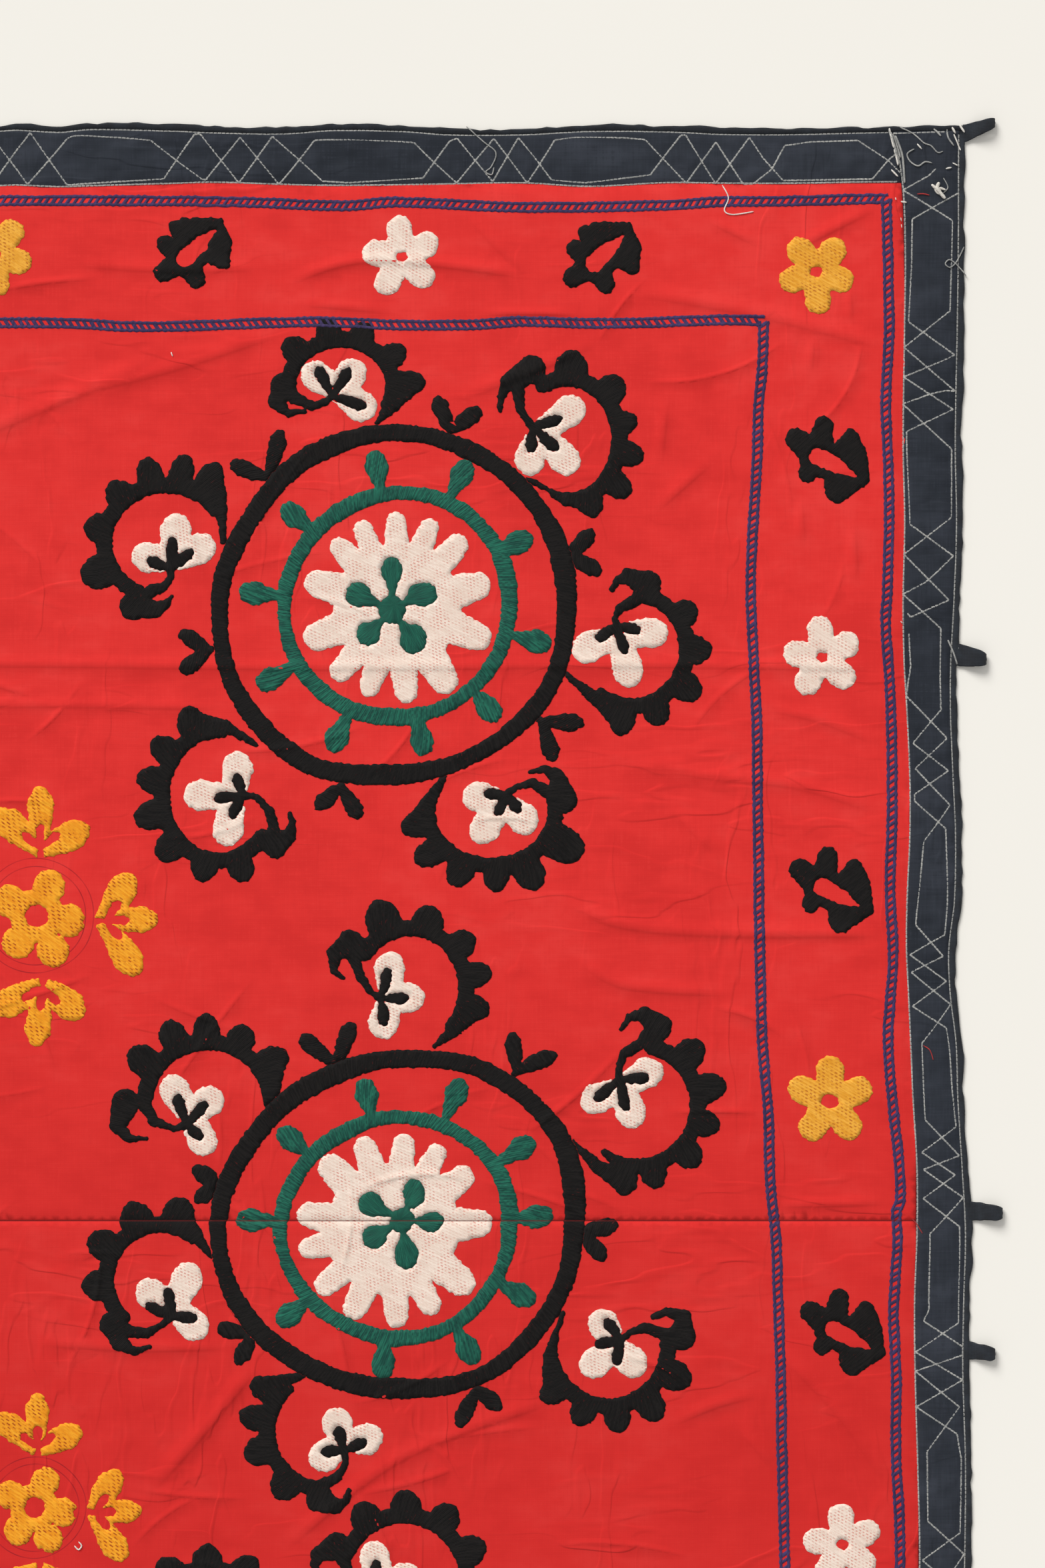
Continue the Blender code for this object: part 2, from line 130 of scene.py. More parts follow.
# How the right edge wanders. The left edge repeats it.
# up the cloth (m), outer edge and inner seam out from straight (mm)
SIDE_EDGE = (
    (-0.905, 0.0, 0.0),
    (-0.700, -1.5, 0.5),
    (-0.500, 2.0, 3.5),
    (-0.287, 5.7, 9.6),
    (-0.203, 6.5, 8.0),
    (-0.125, 4.3, 5.8),
    (-0.065, 5.1, 5.4),
    (-0.010, 6.5, 7.4),
    (0.045, 3.6, 7.4),
    (0.100, 0.2, 4.2),
    (0.145, -1.2, 2.3),
    (0.190, -6.4, 0.4),
    (0.225, -7.2, -1.2),
    (0.265, -2.6, -0.8),
    (0.320, -1.8, 1.6),
    (0.365, -3.8, 1.6),
    (0.420, -5.9, -0.8),
    (0.460, -5.7, -3.2),
    (0.510, -3.0, -4.2),
    (0.576, -0.8, -2.9),
    (0.640, -1.9, -4.2),
    (0.740, -0.2, -3.0),
    (0.800, 0.6, -2.4),
    (0.855, 0.9, -4.6),
    (0.905, 1.2, -13.4),
)

# The lines that quilt the border, as its sewer ran them: two that zigzag across each other, and
# run side by side round each long hexagon.
# along the strip (mm), across it (-0.5 at its inner seam, 0.5 at the tape)
TOP_QUILT = (
    (
        (12.1, 0.455), (42.6, -0.45), (122.4, -0.39), (147.5, 0.44), (152, 0.46), (184.3, -0.48),
        (211.8, 0.44), (253, -0.40), (275, -0.43), (336.2, -0.36), (358.5, 0.37), (364.5, 0.42),
        (393.7, -0.45), (414.9, 0.43), (442.2, -0.39), (470, -0.41), (523.9, -0.32), (549, 0.43),
        (553, 0.44), (577.6, -0.49), (605.5, 0.43), (617, 0.02), (633.3, -0.42), (706.9, -0.42),
        (720, -0.06), (729, 0.12),
    ),
    (
        (9.9, -0.46), (42.6, 0.37), (47, 0.40), (111.4, 0.31), (154, -0.42), (157, -0.43),
        (185.3, 0.41), (217.3, -0.48), (246.6, 0.33), (328.7, 0.30), (364, -0.46), (394.7, 0.42),
        (422.2, -0.48), (444.9, 0.36), (460, 0.39), (504, 0.37), (519.8, 0.33), (553.5, -0.49),
        (578, 0.33), (600.3, -0.49), (608.5, -0.49), (624, -0.20), (634.7, 0.27), (654, 0.33),
        (695.2, 0.34), (720, -0.06), (730, -0.30),
    ),
)
SIDE_QUILT = (
    (
        (868, 0.11), (862, -0.02), (850.2, -0.48), (825, 0.38), (750.6, 0.35), (720.4, -0.48),
        (684.3, 0.47), (685, 0.3), (682, 0.02), (673.8, -0.49), (636.6, 0.42), (580, 0.385),
        (549.7, -0.48), (512, 0.39), (498, -0.33), (501, -0.39),
    ),
    (
        (484.5, -0.37), (457.8, -0.34), (432.7, -0.47), (397.9, 0.39), (373.1, -0.35), (342.9, 0.39),
        (313, -0.18), (244, -0.28), (218.1, 0.36), (204.9, -0.39), (178.5, 0.47), (146.4, -0.24),
        (83, -0.24), (53.6, 0.44), (42.2, -0.34), (19.1, 0.47), (-10.8, -0.22), (-73.1, -0.19),
        (-82.8, -0.3), (-103.9, 0.48), (-111, 0.48), (-124.1, -0.47), (-153.7, 0.4), (-190.5, -0.28),
        (-247.9, -0.3), (-275.1, 0.47),
    ),
    (
        (847.7, 0.48), (826.4, -0.34), (741.4, -0.4), (714.2, 0.45), (710, 0.26), (696, -0.48),
        (669.3, 0.44), (651.1, -0.41), (574.6, -0.38), (548.4, 0.44), (534, 0.12), (527, -0.05),
        (516.8, -0.48), (488.5, 0.26), (421.4, 0.275), (393.8, -0.38), (371.2, 0.39), (351.8, -0.38),
        (346.1, -0.38), (323.5, 0.28), (235.9, 0.37), (219.3, -0.4), (197.6, 0.42), (176.9, -0.4),
        (159.1, 0.31), (77.4, 0.41), (56.3, -0.36), (37.7, 0.33), (18.3, -0.36), (-4.9, 0.37),
        (-84.5, 0.39), (-108.4, -0.46), (-131.4, 0.48), (-153.7, -0.47), (-175.9, 0.33), (-196, 0.4),
        (-257.6, 0.38), (-280.3, -0.42),
    ),
    ((897, -0.49), (898.3, 0.28)),
    ((-897, -0.49), (-898.3, 0.28)),
)
# The top quilting is the same either side of this place. The side quilting repeats further down:
# its last two long lines start again at these corners, this much lower.
TOP_QUILT_MIDDLE = -5.0
SIDE_QUILT_REPEAT = -626.0
SIDE_QUILT_AGAIN = ((1, 342.9), (2, 346.1))

# Machine stitches, in metres
STITCH_PITCH = 0.0034
STITCH_LENGTH = 0.0035
STITCH_WIDTH = 0.0014
STITCH_RISE = 0.0007
# share along the stitch, side, and share of its rise
STITCH_CORNERS = (
    (0.0, 0, 0.45), (0.14, -1, 0.25), (0.14, 0, 0.9), (0.14, 1, 0.25),
    (0.86, -1, 0.25), (0.86, 0, 0.9), (0.86, 1, 0.25), (1.0, 0, 0.45),
)
OUTER_STITCH_INSET = 0.0008
INNER_STITCH_INSET = 0.0013

# The folds that show from a step away, in the cloth's own millimetres from its middle.
# height, half width, the points that the crest runs through
FOLDS = (
    (1.4, 9, ((-640, 452), (-330, 455), (-60, 459), (250, 456), (520, 458), (712, 455))),
    (1.1, 8, ((-190, 421), (0, 425), (172, 423))),
    (1.6, 8, ((622, 12), (724, 15))),
    (1.7, 13, ((-130, 608), (-13, 655), (119, 710))),
    (1.6, 11, ((20, 677), (120, 700), (218, 732))),
    (1.5, 11, ((361, 677), (425, 700), (482, 726))),
    (1.5, 9, ((367, 836), (400, 800), (427, 776))),
    (2.0, 9, ((224, 773), (295, 792), (422, 779))),
    (1.2, 8, ((228, 757), (317, 749))),
    (1.2, 9, ((42, 790), (120, 784), (205, 786))),
    (1.5, 8, ((570, 826), (614, 804))),
    (1.6, 9, ((636, 798), (713, 837))),
    (1.7, 12, ((512, 765), (610, 748), (716, 721))),
    (1.5, 9, ((532, 622), (537, 677))),
    (1.5, 10, ((526, 584), (576, 628))),
    (1.5, 9, ((694, 523), (691, 578))),
    (1.5, 10, ((614, 424), (666, 412), (717, 391))),
    (1.7, 11, ((499, 380), (575, 366), (647, 358), (712, 337))),
    (1.5, 9, ((537, 345), (581, 298))),
    (2.0, 11, ((455, 265), (490, 246), (565, 237), (717, 236))),
    (1.6, 10, ((460, 221), (500, 194), (592, 187))),
    (2.3, 12, ((112, -222), (150, -180), (202, -116))),
    (1.7, 11, ((224, -269), (317, -197), (444, -148))),
    (1.5, 9, ((15, -101), (100, -106), (180, -104))),
    (2.3, 12, ((628, -106), (680, -160), (724, -225))),
    (1.5, 9, ((537, -170), (580, -152), (618, -143))),
    (1.7, 10, ((596, -168), (628, -208))),
    (1.5, 9, ((-650, -455), (-200, -459), (240, -455), (690, -458))),
    (1.7, 12, ((-560, 690), (-440, 650), (-330, 655))),
    (1.6, 11, ((-700, 250), (-560, 236), (-450, 250))),
    (1.7, 12, ((-650, -150), (-520, -190), (-440, -270))),
    (1.7, 12, ((130, -620), (250, -650), (400, -625))),
    (1.6, 11, ((-420, -760), (-300, -720), (-180, -735))),
    (1.2, 8, ((650, 558), (648, 594))),
    (1.2, 7, ((656, 698), (658, 728))),
    (1.1, 7, ((690, 740), (688, 770))),
)

# Short creases scattered between the folds
CREASE_COUNT = 170

# The edge tape's section: shares of its width and of its height
TAPE_SECTION = (
    (0.0, 0.0), (0.75, 0.0), (1.0, 0.22), (1.04, 0.48), (0.98, 0.76), (0.80, 0.92), (0.52, 0.90),
    (0.22, 0.68), (0.0, 0.40),
)

# The loops' tape: places across it, and how thick it is there beside its middle thickness
LOOP_SHARES = (-0.5, -0.44, -0.22, 0.0, 0.22, 0.44, 0.5)
LOOP_THICKNESS = (0.4, 0.9, 0.75, 1.45, 0.75, 0.9, 0.4)
LOOP_STEP = 0.0009

# The loops, in millimetres: up the cloth, length, width at the root and at the tip, and how far
# the tip lies above the root
LOOPS = (
    (897.0, 24.5, 14.0, 8.0, 8.5),
    (467.0, 24.0, 18.5, 11.0, -4.0),
    (8.0, 26.0, 16.0, 10.5, -1.5),
    (-107.0, 21.5, 15.0, 10.0, -2.5),
    (-459.0, 24.0, 17.0, 10.5, 2.0),
    (-897.0, 24.5, 14.0, 8.0, -8.5),
)

# The two blue chain-stitched frames, right half, in millimetres from the cloth's middle
OUTER_TOP = (
    (152, 841.0), (262, 837.1), (317, 840.1), (418, 836.0), (528, 837.4), (583, 840.7),
    (638, 841.2), (702, 842.9), (720, 843.2),
)
OUTER_SIDE = (
    (718.6, 843), (720.0, 787), (720.8, 732), (718.0, 677), (720.2, 622), (720.8, 576),
    (719.4, 521), (718.0, 493), (721.6, 438), (723.0, 383), (723.0, 328), (721.6, 273),
    (724.1, 218), (721.6, 182), (720.0, 145), (724.4, 90), (729.0, 50), (729.9, 17),
    (726.8, 8), (727.7, -20), (724.4, -75), (726.8, -130), (726.3, -185), (729.0, -240),
    (729.6, -287), (726.0, -420), (722.0, -560), (720.0, -700), (719.0, -843),
)
INNER_TOP = (
    (42, 740.4), (97, 737.6), (152, 738.4), (207, 740.6), (262, 741.4), (317, 738.9),
    (372, 738.9), (418, 741.7), (473, 740.3), (528, 741.1), (583, 743.1), (618, 742.0),
)
INNER_SIDE = (
    (617.4, 742), (616.3, 705), (613.5, 677), (611.6, 622), (608.6, 576), (606.7, 521),
    (608.9, 466), (611.6, 411), (612.2, 356), (613.0, 301), (613.5, 246), (614.9, 191),
    (616.3, 145), (621.0, 90), (622.6, 35), (627.8, -20), (629.5, -75), (631.4, -130),
    (632.2, -185), (634.7, -287), (634.0, -400), (628.0, -560), (618.0, -742),
)
# name, points of the top and of the right side, and which way its slanted stitches lean
BLUE_FRAMES = (
    ("outer", OUTER_TOP, OUTER_SIDE, 1),
    ("inner", INNER_TOP, INNER_SIDE, -1),
)
RAIL_STEP = 2.6
RAIL_OFFSET = 3.15
RAIL_HALF = 1.5
RAIL_WAVE = 0.3
RAIL_WAVER = 0.3
RUNG_PITCH = 5.9
RUNG_LEAN = 4.2
RUNG_HALF = 1.72
RAIL_RISE = 0.62
RUNG_RISE = 0.50
THREAD_SECTION = ((-1.0, -0.5), (-0.62, 0.82), (0.62, 0.82), (1.0, -0.5))

# Medallions, in millimetres from the cloth's middle.
# ring: middle, outer radii, width. rosette: middle, radius at the tips and at the notches, and
# the first tip's angle. petals of the green flower: middle, half sizes. scroll: see add_scroll.
MEDALLION_TOP = {
    "ring": (312, 509, 152, 149, 15.5, (-2, -1, -1, 0, -2, -6, 0, 5.5, 8, -0.5, -1, 1.5)),
    "green_ring": (315, 508, 98.6, 98.6, 13, (-0.5, 1.5, 2, 0.5, -1.5, -0.5, 2, 3.5, 2.5, 0.5, 0, 0)),
    "rosette": (314.5, 506, 79, 52, (91, 68, 46, 15, -20, -57, -84, -109, -132, -160, -197, -226, -246)),
    "core": (310, 504, 11.4),
    "flower": ((310, 536, 8.6, 11.5), (282.5, 516.5, 11, 10), (335, 517, 12, 10), (290.5, 484, 10, 10),
               (327.5, 480, 11, 12)),
    "buds": ((297.5, 622), (367.4, 615.7), (414, 559.5), (428.8, 478), (389.4, 423), (334.4, 397),
             (265.2, 399), (210.2, 447), (197.3, 517.4), (229.6, 581.5)),
    "twigs": (
        ((208, 612), (186, 621), (216, 643)), ((358, 651), (350, 671), (376, 664)),
        ((456, 549), (470, 563), (474, 539)), ((434, 412), (459, 411), (441, 388)),
        ((268, 359), (254, 346), (279, 340)), ((159, 471), (143, 481), (143, 458)),
    ),
    "scrolls": (
        {
            "circle": (268, 688.5, 36.5, 31.5),
            "root": ((298, 659), (307, 669)),
            "lobes": ((325, 691), (310, 713), (285, 729), (258, 732), (231, 718)),
            "head": (221, 688), "beak": ((214, 676), (224, 666), (238, 668)),
            "stem": ((229, 679), (245, 672), (256, 676)), "node": (261, 680),
            "leaves": ((251, 699), (272, 698), (283, 673)),
            "petals": ((248, 696), (276, 698), (284, 672)),
        },
        {
            "circle": (454.5, 644.5, 36.5, 43.5),
            "root": ((421, 611), (443, 605)),
            "lobes": ((474, 592), (497, 606), (506, 632), (500, 658), (490, 685), (458, 703)),
            "head": (425, 702), "beak": ((406, 692), (400, 680), (399, 668)),
            "stem": ((414, 688), (416, 670), (420, 662)), "node": (426, 655),
            "leaves": ((444, 660), (442, 640), (425, 640)),
            "petals": ((456, 668), (452, 628), (424, 629)),
        },
        {
            "circle": (508, 471, 38.5, 39.5),
            "root": ((451, 453), (478, 431)),
            "lobes": ((500, 413), (528, 421), (553, 440), (560, 471), (550, 500)),
            "head": (520, 525), "beak": ((505, 532), (496, 528), (491, 520)),
            "stem": ((511, 512), (498, 505), (494, 497)), "node": (495, 491),
            "leaves": ((509, 488), (501, 474), (484, 483)),
            "petals": ((524, 485), (505, 454), (472, 473)),
        },
        {
            "circle": (392, 337, 46, 37),
            "root": ((355, 370), (343, 349)),
            "lobes": ((329, 326), (340, 302), (366, 288), (396, 284), (424, 286), (454, 309)),
            "head": (451, 348), "beak": ((447, 366), (436, 373), (424, 370)),
            "stem": ((441, 352), (427, 361), (413, 358)), "node": (405, 352),
            "leaves": ((392, 352), (399, 340), (412, 342)),
            "petals": ((382, 350), (387, 324), (418, 332)),
        },
        {
            "circle": (167, 351, 40, 47),
            "root": ((198, 393), (172, 408)),
            "lobes": ((145, 411), (122, 389), (112, 364), (110, 334), (127, 308), (155, 293),
                      (185, 292)),
            "head": (214, 311), "beak": ((225, 318), (228, 328), (226, 336)),
            "stem": ((213, 322), (209, 338), (198, 350)), "node": (187, 351),
            "leaves": ((183, 363), (170, 349), (180, 338)),
            "petals": ((183, 373), (152, 351), (175, 323)),
        },
        {
            "circle": (123.5, 560, 44, 40),
            "root": ((171, 560), (169, 590)),
            "lobes": ((161, 615), (137, 620), (110, 617), (86, 599), (70, 571), (68, 535)),
            "head": (97, 507), "beak": ((115, 504), (124, 509), (129, 515)),
            "stem": ((110, 519), (122, 523), (128, 530)), "node": (127, 537),
            "leaves": ((114, 543), (129, 557), (141, 549)),
            "petals": ((109, 547), (132, 569), (151, 554)),
        },
    ),
}

MEDALLION_MIDDLE = {
    "ring": (313.5, -1.4, 156.6, 144.7, 16, (-1, 6.5, 5.5, -2, -6.5, -8, -2.5, 0, -1, 0, 5.5, 2)),
    "green_ring": (313, -6, 102, 98, 12.5, (-1, 2, 1, 0, -3, -2.5, -1, -3, -3.5, -1, 0.5, -1)),
    "rosette": (311, -7, 80.5, 55, (83, 60, 37, 4, -37, -63, -87, -115, -140, -167, -190, -225, -251)),
    "core": (319, 0.5, 10),
    "flower": ((328, 22.5, 8.8, 12), (293, 13.5, 10.5, 10), (343, -1, 10.5, 8.5), (297, -13.5, 10.5, 10),
               (323, -27.5, 10, 12)),
    "buds": ((289, 104.5), (363, 104.5), (416.5, 59.6), (429.6, 3.3), (417.3, -61),
             (374, -105.6), (304, -117), (227, -77.4), (195.4, 0.6), (227, 67.3)),
    "twigs": (
        ((264, 128), (242, 146), (274, 155)), ((413, 124), (410, 146), (437, 134)),
        ((467, -9), (488, -5), (481, -25)), ((381, -138), (394, -149), (370, -161)),
        ((197, -94), (176, -90), (188, -110)), ((168, 29), (154, 39), (155, 21)),
    ),
    "scrolls": (
        {
            "circle": (325, 191.5, 39.5, 43),
            "root": ((345, 144), (362, 158)),
            "lobes": ((379, 176), (380, 203), (367, 228), (339, 246), (302, 250)),
            "head": (275, 228), "beak": ((263, 221), (262, 206), (270, 200)),
            "stem": ((279, 216), (285, 201), (292, 189)), "node": (301, 183),
            "leaves": ((306, 202), (318, 184), (303, 167)),
            "petals": ((308, 208), (323, 184), (303, 164)),
        },
        {
            "circle": (512, 95, 43.5, 43.5),
            "root": ((459, 65), (478, 46)),
            "lobes": ((502, 32), (526, 39), (554, 55), (568, 80), (572, 110), (556, 138)),
            "head": (529, 160), "beak": ((519, 170), (506, 168), (499, 158)),
            "stem": ((515, 146), (501, 137), (497, 126)), "node": (498, 117),
            "leaves": ((516, 118), (502, 97), (482, 103)),
            "petals": ((520, 122), (507, 90), (479, 101)),
        },
        {
            "circle": (490, -104, 42, 42),
            "root": ((452, -76), (441, -112)),
            "lobes": ((445, -140), (469, -157), (497, -162), (525, -153), (545, -128)),
            "head": (550, -95), "beak": ((552, -80), (538, -75), (522, -81)),
            "stem": ((535, -93), (520, -88), (508, -92)), "node": (500, -98),
            "leaves": ((491, -86), (485, -101), (497, -113)),
            "petals": ((486, -86), (479, -117), (509, -116)),
        },
        {
            "circle": (257, -173, 42, 42),
            "root": ((246, -125), (222, -132)),
            "lobes": ((205, -138), (197, -162), (202, -190), (224, -217)),
            "head": (252, -229), "beak": ((264, -236), (273, -231), (276, -222)),
            "stem": ((252, -218), (266, -212), (273, -201)), "node": (272, -190),
            "leaves": ((268, -176), (284, -184), (259, -190)),
            "petals": ((266, -168), (290, -180), (256, -194)),
        },
        {
            "circle": (120, -48, 38, 38),
            "root": ((162, -30), (150, -12)),
            "lobes": ((134, 5), (99, 2), (73, -20), (69, -53)),
            "head": (82, -86), "beak": ((86, -101), (99, -108), (111, -104)),
            "stem": ((94, -91), (109, -93), (121, -86)), "node": (130, -79),
            "leaves": ((127, -62), (114, -72), (144, -80)),
            "petals": ((142, -48), (113, -61), (147, -86)),
        },
        {
            "circle": (158, 95, 45.6, 45.6),
            "root": ((201, 68), (211, 96)),
            "lobes": ((212, 132), (185, 149), (157, 158), (129, 153), (104, 133)),
            "head": (90, 97), "beak": ((84, 78), (94, 67), (108, 68)),
            "stem": ((104, 98), (114, 82), (130, 76)), "node": (141, 79),
            "leaves": ((134, 98), (153, 93), (149, 72)),
            "petals": ((131, 107), (158, 98), (153, 67)),
        },
    ),
}

# The bottom row: its upper two scrolls show, and the others stand at the same places round the
# ring as the middle row's. middle of each scroll's circle, its radius, and its root's angle.
MEDALLION_BOTTOM = {
    "ring": (310, -501, 154, 147, 16, (1, 2, 0, -2, -3, -1, 2, 3, 1, -1, -2, 0)),
    "green_ring": (312, -503, 100, 98, 12.5, (0, 1, 2, 1, -1, -2, -1, 0, 2, 1, -1, -1)),
    "rosette": (311, -504, 79, 54, (88, 61, 34, 3, -25, -53, -80, -109, -136, -162, -190, -218, -244)),
    "core": (314, -499, 10.5),
    "flower": ((318, -476, 8, 11), (289, -488, 9.5, 9), (336, -497, 9.5, 9), (294, -512, 9, 9),
               (320, -524, 9, 11)),
    "buds": ((286, -390), (358, -391), (413, -438), (429, -496), (414, -561), (370, -606),
             (300, -614), (224, -574), (195, -497), (225, -431)),
    "twigs": (
        ((240, -372), (222, -362), (246, -350)), ((392, -376), (390, -354), (412, -366)),
        ((464, -510), (482, -503), (476, -523)), ((377, -636), (388, -648), (367, -658)),
        ((194, -594), (173, -590), (185, -610)), ((158, -462), (142, -452), (144, -470)),
    ),
    "round_scrolls": (
        (321, -295, 45, -75), (160, -337, 43, -40), (112, -548, 39, 15), (252, -676, 42, 70),
        (488, -604, 42, 150), (510, -402, 43, -150),
    ),
}

# Yellow crosses: middle of the hole, and the five petals round it, then four tulips as base,
# petals left, middle and right
CROSS_PETALS = ((10, 24), (26, -4), (13, -28), (-15, -21), (-22, 12))
CROSS_TULIPS = (
    ((3, 52.5), (-22, 75), (3, 90.5), (29, 65.5)),
    ((53, -4), (69, 21), (84, -3), (74, -35)),
    ((5, -55), (26, -72), (1, -91), (-22, -70)),
    ((-50, 4), (-67, -21), (-81, 4), (-71, 31)),
)
TULIP_HALVES = (12.3, 10.8, 12.3)
# middle, and size beside the first one
CROSSES = ((17, 251.5, 1.02), (16.0, -236.8, 0.90))
DRAWN_RADII = (39.8, 46.2)

# Loose and overcast threads, in millimetres from the cloth's middle.
# half thickness, the points that it runs through
THREAD_STEP = 0.0013
GREY_THREADS = (
    (0.55, ((729.6, 901.8), (740.0, 897.1), (749.4, 889.0), (755.2, 886.7), (760.8, 881.0), (765, 881.9))),
    (0.6, ((741.5, 884), (735.7, 880), (738.0, 873.9), (744.5, 870.0), (750.4, 873.4), (756.1, 872.5))),
    (0.45, ((765.5, 860.2), (769.3, 852.5), (765.5, 847.8))),
    (0.5, ((372.1, 902.6), (385.8, 890.2), (396.3, 881.1), (392.7, 869.6), (388.0, 865.2), (393.0, 862.9),
           (394.7, 868.7))),
    (0.7, ((769.2, 479.1), (773.6, 469.2), (777.4, 457.6))),
    (0.55, ((778.2, 473.0), (777.6, 458.0))),
    (0.9, ((721.8, 898.5), (724.0, 890.0), (727.5, 879.0), (728.8, 872.0))),
    (0.75, ((723.8, 896.5), (727.0, 888.0), (730.2, 877.0))),
    (0.9, ((726.0, 895.0), (729.5, 886.0), (731.8, 878.0), (732.8, 868.0), (733.6, 856.0))),
    (0.8, ((720.5, 900.5), (722.0, 895.0), (725.5, 884.5), (726.3, 878.0))),
    (0.8, ((757.5, 900.5), (760.5, 898.0), (763.5, 894.5))),
    (0.7, ((768.5, 900.0), (769.5, 893.0), (774.0, 886.5))),
    (0.5, ((782.6, 803.3), (776.9, 791.9), (771.3, 786.3), (767.0, 789.1), (770.3, 792.6), (775.9, 789.2),
           (784.5, 779.6))),
)
WHITE_THREADS = (
    (0.8, ((720.8, 901.0), (722.6, 893.0), (724.5, 885.0))),
    (0.7, ((724.9, 883.6), (726.3, 879.0), (728.1, 870.5))),
    (0.75, ((722.4, 866.8), (728.0, 861.2))),
    (1.3, ((755.6, 854.6), (759.0, 851.6), (763.5, 849.0))),
    (1.5, ((761.9, 856.4), (760.2, 851.8), (763.0, 847.6), (767.0, 843.1))),
    (1.0, ((758.4, 849.0), (762.0, 851.6), (767.3, 850.2))),
    (0.7, ((757.5, 853.3), (760.0, 847.9), (764.6, 846.4))),
    (1.0, ((772.6, 901.8), (775.4, 896.8))),
    (0.9, ((778.6, 904.2), (782.9, 897.6))),
    (0.6, ((774.1, 896.1), (779.8, 882.9))),
    (0.7, ((743.8, 888.1), (747.6, 883.9))),
    (0.7, ((767.5, 867.7), (772.2, 868.7))),
    (0.6, ((773.1, 872.5), (777.4, 870.5))),
    (0.9, ((730.5, 840.7), (735.2, 839.9))),
    (0.9, ((726.0, 843.9), (726.4, 842.0))),
    (0.5, ((730.5, 827.5), (731.0, 824.5))),
    (0.5, ((730.9, 822.0), (731.3, 819.0))),
    (0.5, ((583.2, 854.2), (588.2, 843.8), (584.9, 833.5), (591.7, 830.0), (608.9, 832.4))),
    (0.6, ((128.4, 716.5), (129.6, 713.0))),
    (0.9, ((730.4, 494.6), (731.4, 493.2))),
    (0.6, ((48.7, -267.9), (52.0, -271.2), (54.6, -267.9), (52.0, -264.6))),
)
RED_THREADS = (
    (0.45, ((743.8, 846.8), (748.8, 847.0), (754.2, 845.9))),
    (0.4, ((739.5, 1.7), (743.3, -2.2), (748.3, -10.5))),
    (0.4, ((748.8, 144.7), (754.3, 140.8), (757.1, 132.6))),
)

# Flowers between the two blue frames, in millimetres from the cloth's middle
WHITE_PETALS = ((94, 23.5, 10.6), (27, 22.5, 10.6), (-43, 23, 10.8), (-120, 24, 10.8), (172, 22, 10.8))
YELLOW_PETALS = ((127, 22.5, 11), (52, 22.5, 11), (-17, 21, 10.8), (-86, 24, 10.8), (198, 20.5, 10.8))
WIDE_YELLOW_PETALS = ((90, 26, 11.6), (156, 25, 11.6), (22, 25, 11.6), (-124, 25, 11.8), (-54, 25, 11.8))

# petals, half size of the hole, and colour of each kind of round flower
ROUND_KINDS = {
    "white": (WHITE_PETALS, 5, "cream"),
    "yellow": (YELLOW_PETALS, 5, "yellow"),
    "wide_yellow": (WIDE_YELLOW_PETALS, 7, "yellow"),
}
TOP_FLOWERS = (
    ("yellow", -18, 797.5), ("black", 139.3, 794), ("white", 318, 795), ("black", 477, 790),
    ("yellow", 660, 782.6),
)
SIDE_FLOWERS = (
    ("black", 661.5, 630.5), ("white", 665, 465), ("black", 664.5, 275.5), ("wide_yellow", 671.5, 98.5),
    ("black", 675, -89.5), ("white", 683, -267), ("black", 671, -434.5), ("white", 676, -610),
)

# A black flower on the top row, from the round end of its hole, and one on the side row
TOP_BLACK = {
    "hole": ((0, 0, 7.2), (13, 12, 6.3), (24.9, 22.9, 0.6)),
    "lobes": ((-7, 25, 6.5), (0.5, 28, 6), (9, 27, 7), (28, 29.5, 4), (34, 12, 5), (31, -3, 6.5),
              (9.5, -18, 7.5), (-18, -12, 8), (-16.5, 12, 7)),
    "side": ((9, 28, 6), (28.5, 31, 2.4), (34, 14, 4.5), (31, -3, 6)),
    "fill": ((22, 6, 8), (29, 8, 6), (31, 20, 3)),
}
SIDE_BLACK = {
    "hole": ((0, 0, 7), (16, -8, 6.2), (31, -16, 0.6)),
    "lobes": ((-18, 14.5, 9), (5, 25.5, 8), (27, 16.5, 6.5), (37, -16, 3.5), (15.5, -28, 10),
              (-8.6, -14, 7.5)),
    "side": ((28.5, 17, 5), (35.5, 2, 5), (41.0, -20, 2.4), (16, -30, 8.5)),
    "fill": ((24, 5, 8), (33, -4, 5), (38, -18, 3), (26, -25, 7)),
}
BODY_HALF = 12.5


def srgb(red, green, blue):
    """A colour of 0 to 255 parts as the linear values that a shader takes."""
    parts = [value / 255 for value in (red, green, blue)]
    linear = [part / 12.92 if part <= 0.04045 else ((part + 0.055) / 1.055) ** 2.4 for part in parts]
    return (*linear, 1.0)


# Edges of the cloth


def edge_shift(table, place, column):
    """How far an edge wanders from straight, in metres, at places along it."""
    rows = np.array(table)
    spots = rows[:, 0]
    values = rows[:, column]
    last = len(rows) - 1
    ahead = np.minimum(np.arange(len(rows)) + 1, last)
    behind = np.maximum(np.arange(len(rows)) - 1, 0)
    slopes = (values[ahead] - values[behind]) / (spots[ahead] - spots[behind])
    place = np.clip(place, spots[0], spots[-1])
    left = np.clip(np.searchsorted(spots, place, side="right") - 1, 0, last - 1)
    span = spots[left + 1] - spots[left]
    share = (place - spots[left]) / span
    square = share**2
    cube = share**3
    shift = (2 * cube - 3 * square + 1) * values[left]
    shift += (3 * square - 2 * cube) * values[left + 1]
    shift += (cube - 2 * square + share) * slopes[left] * span
    shift += (cube - square) * slopes[left + 1] * span
    return shift * MM


def top_outer(x):
    return CLOTH_HEIGHT / 2 + edge_shift(TOP_EDGE, np.abs(x), 1)


def top_inner(x):
    return CLOTH_HEIGHT / 2 - TOP_BORDER + edge_shift(TOP_EDGE, np.abs(x), 2)


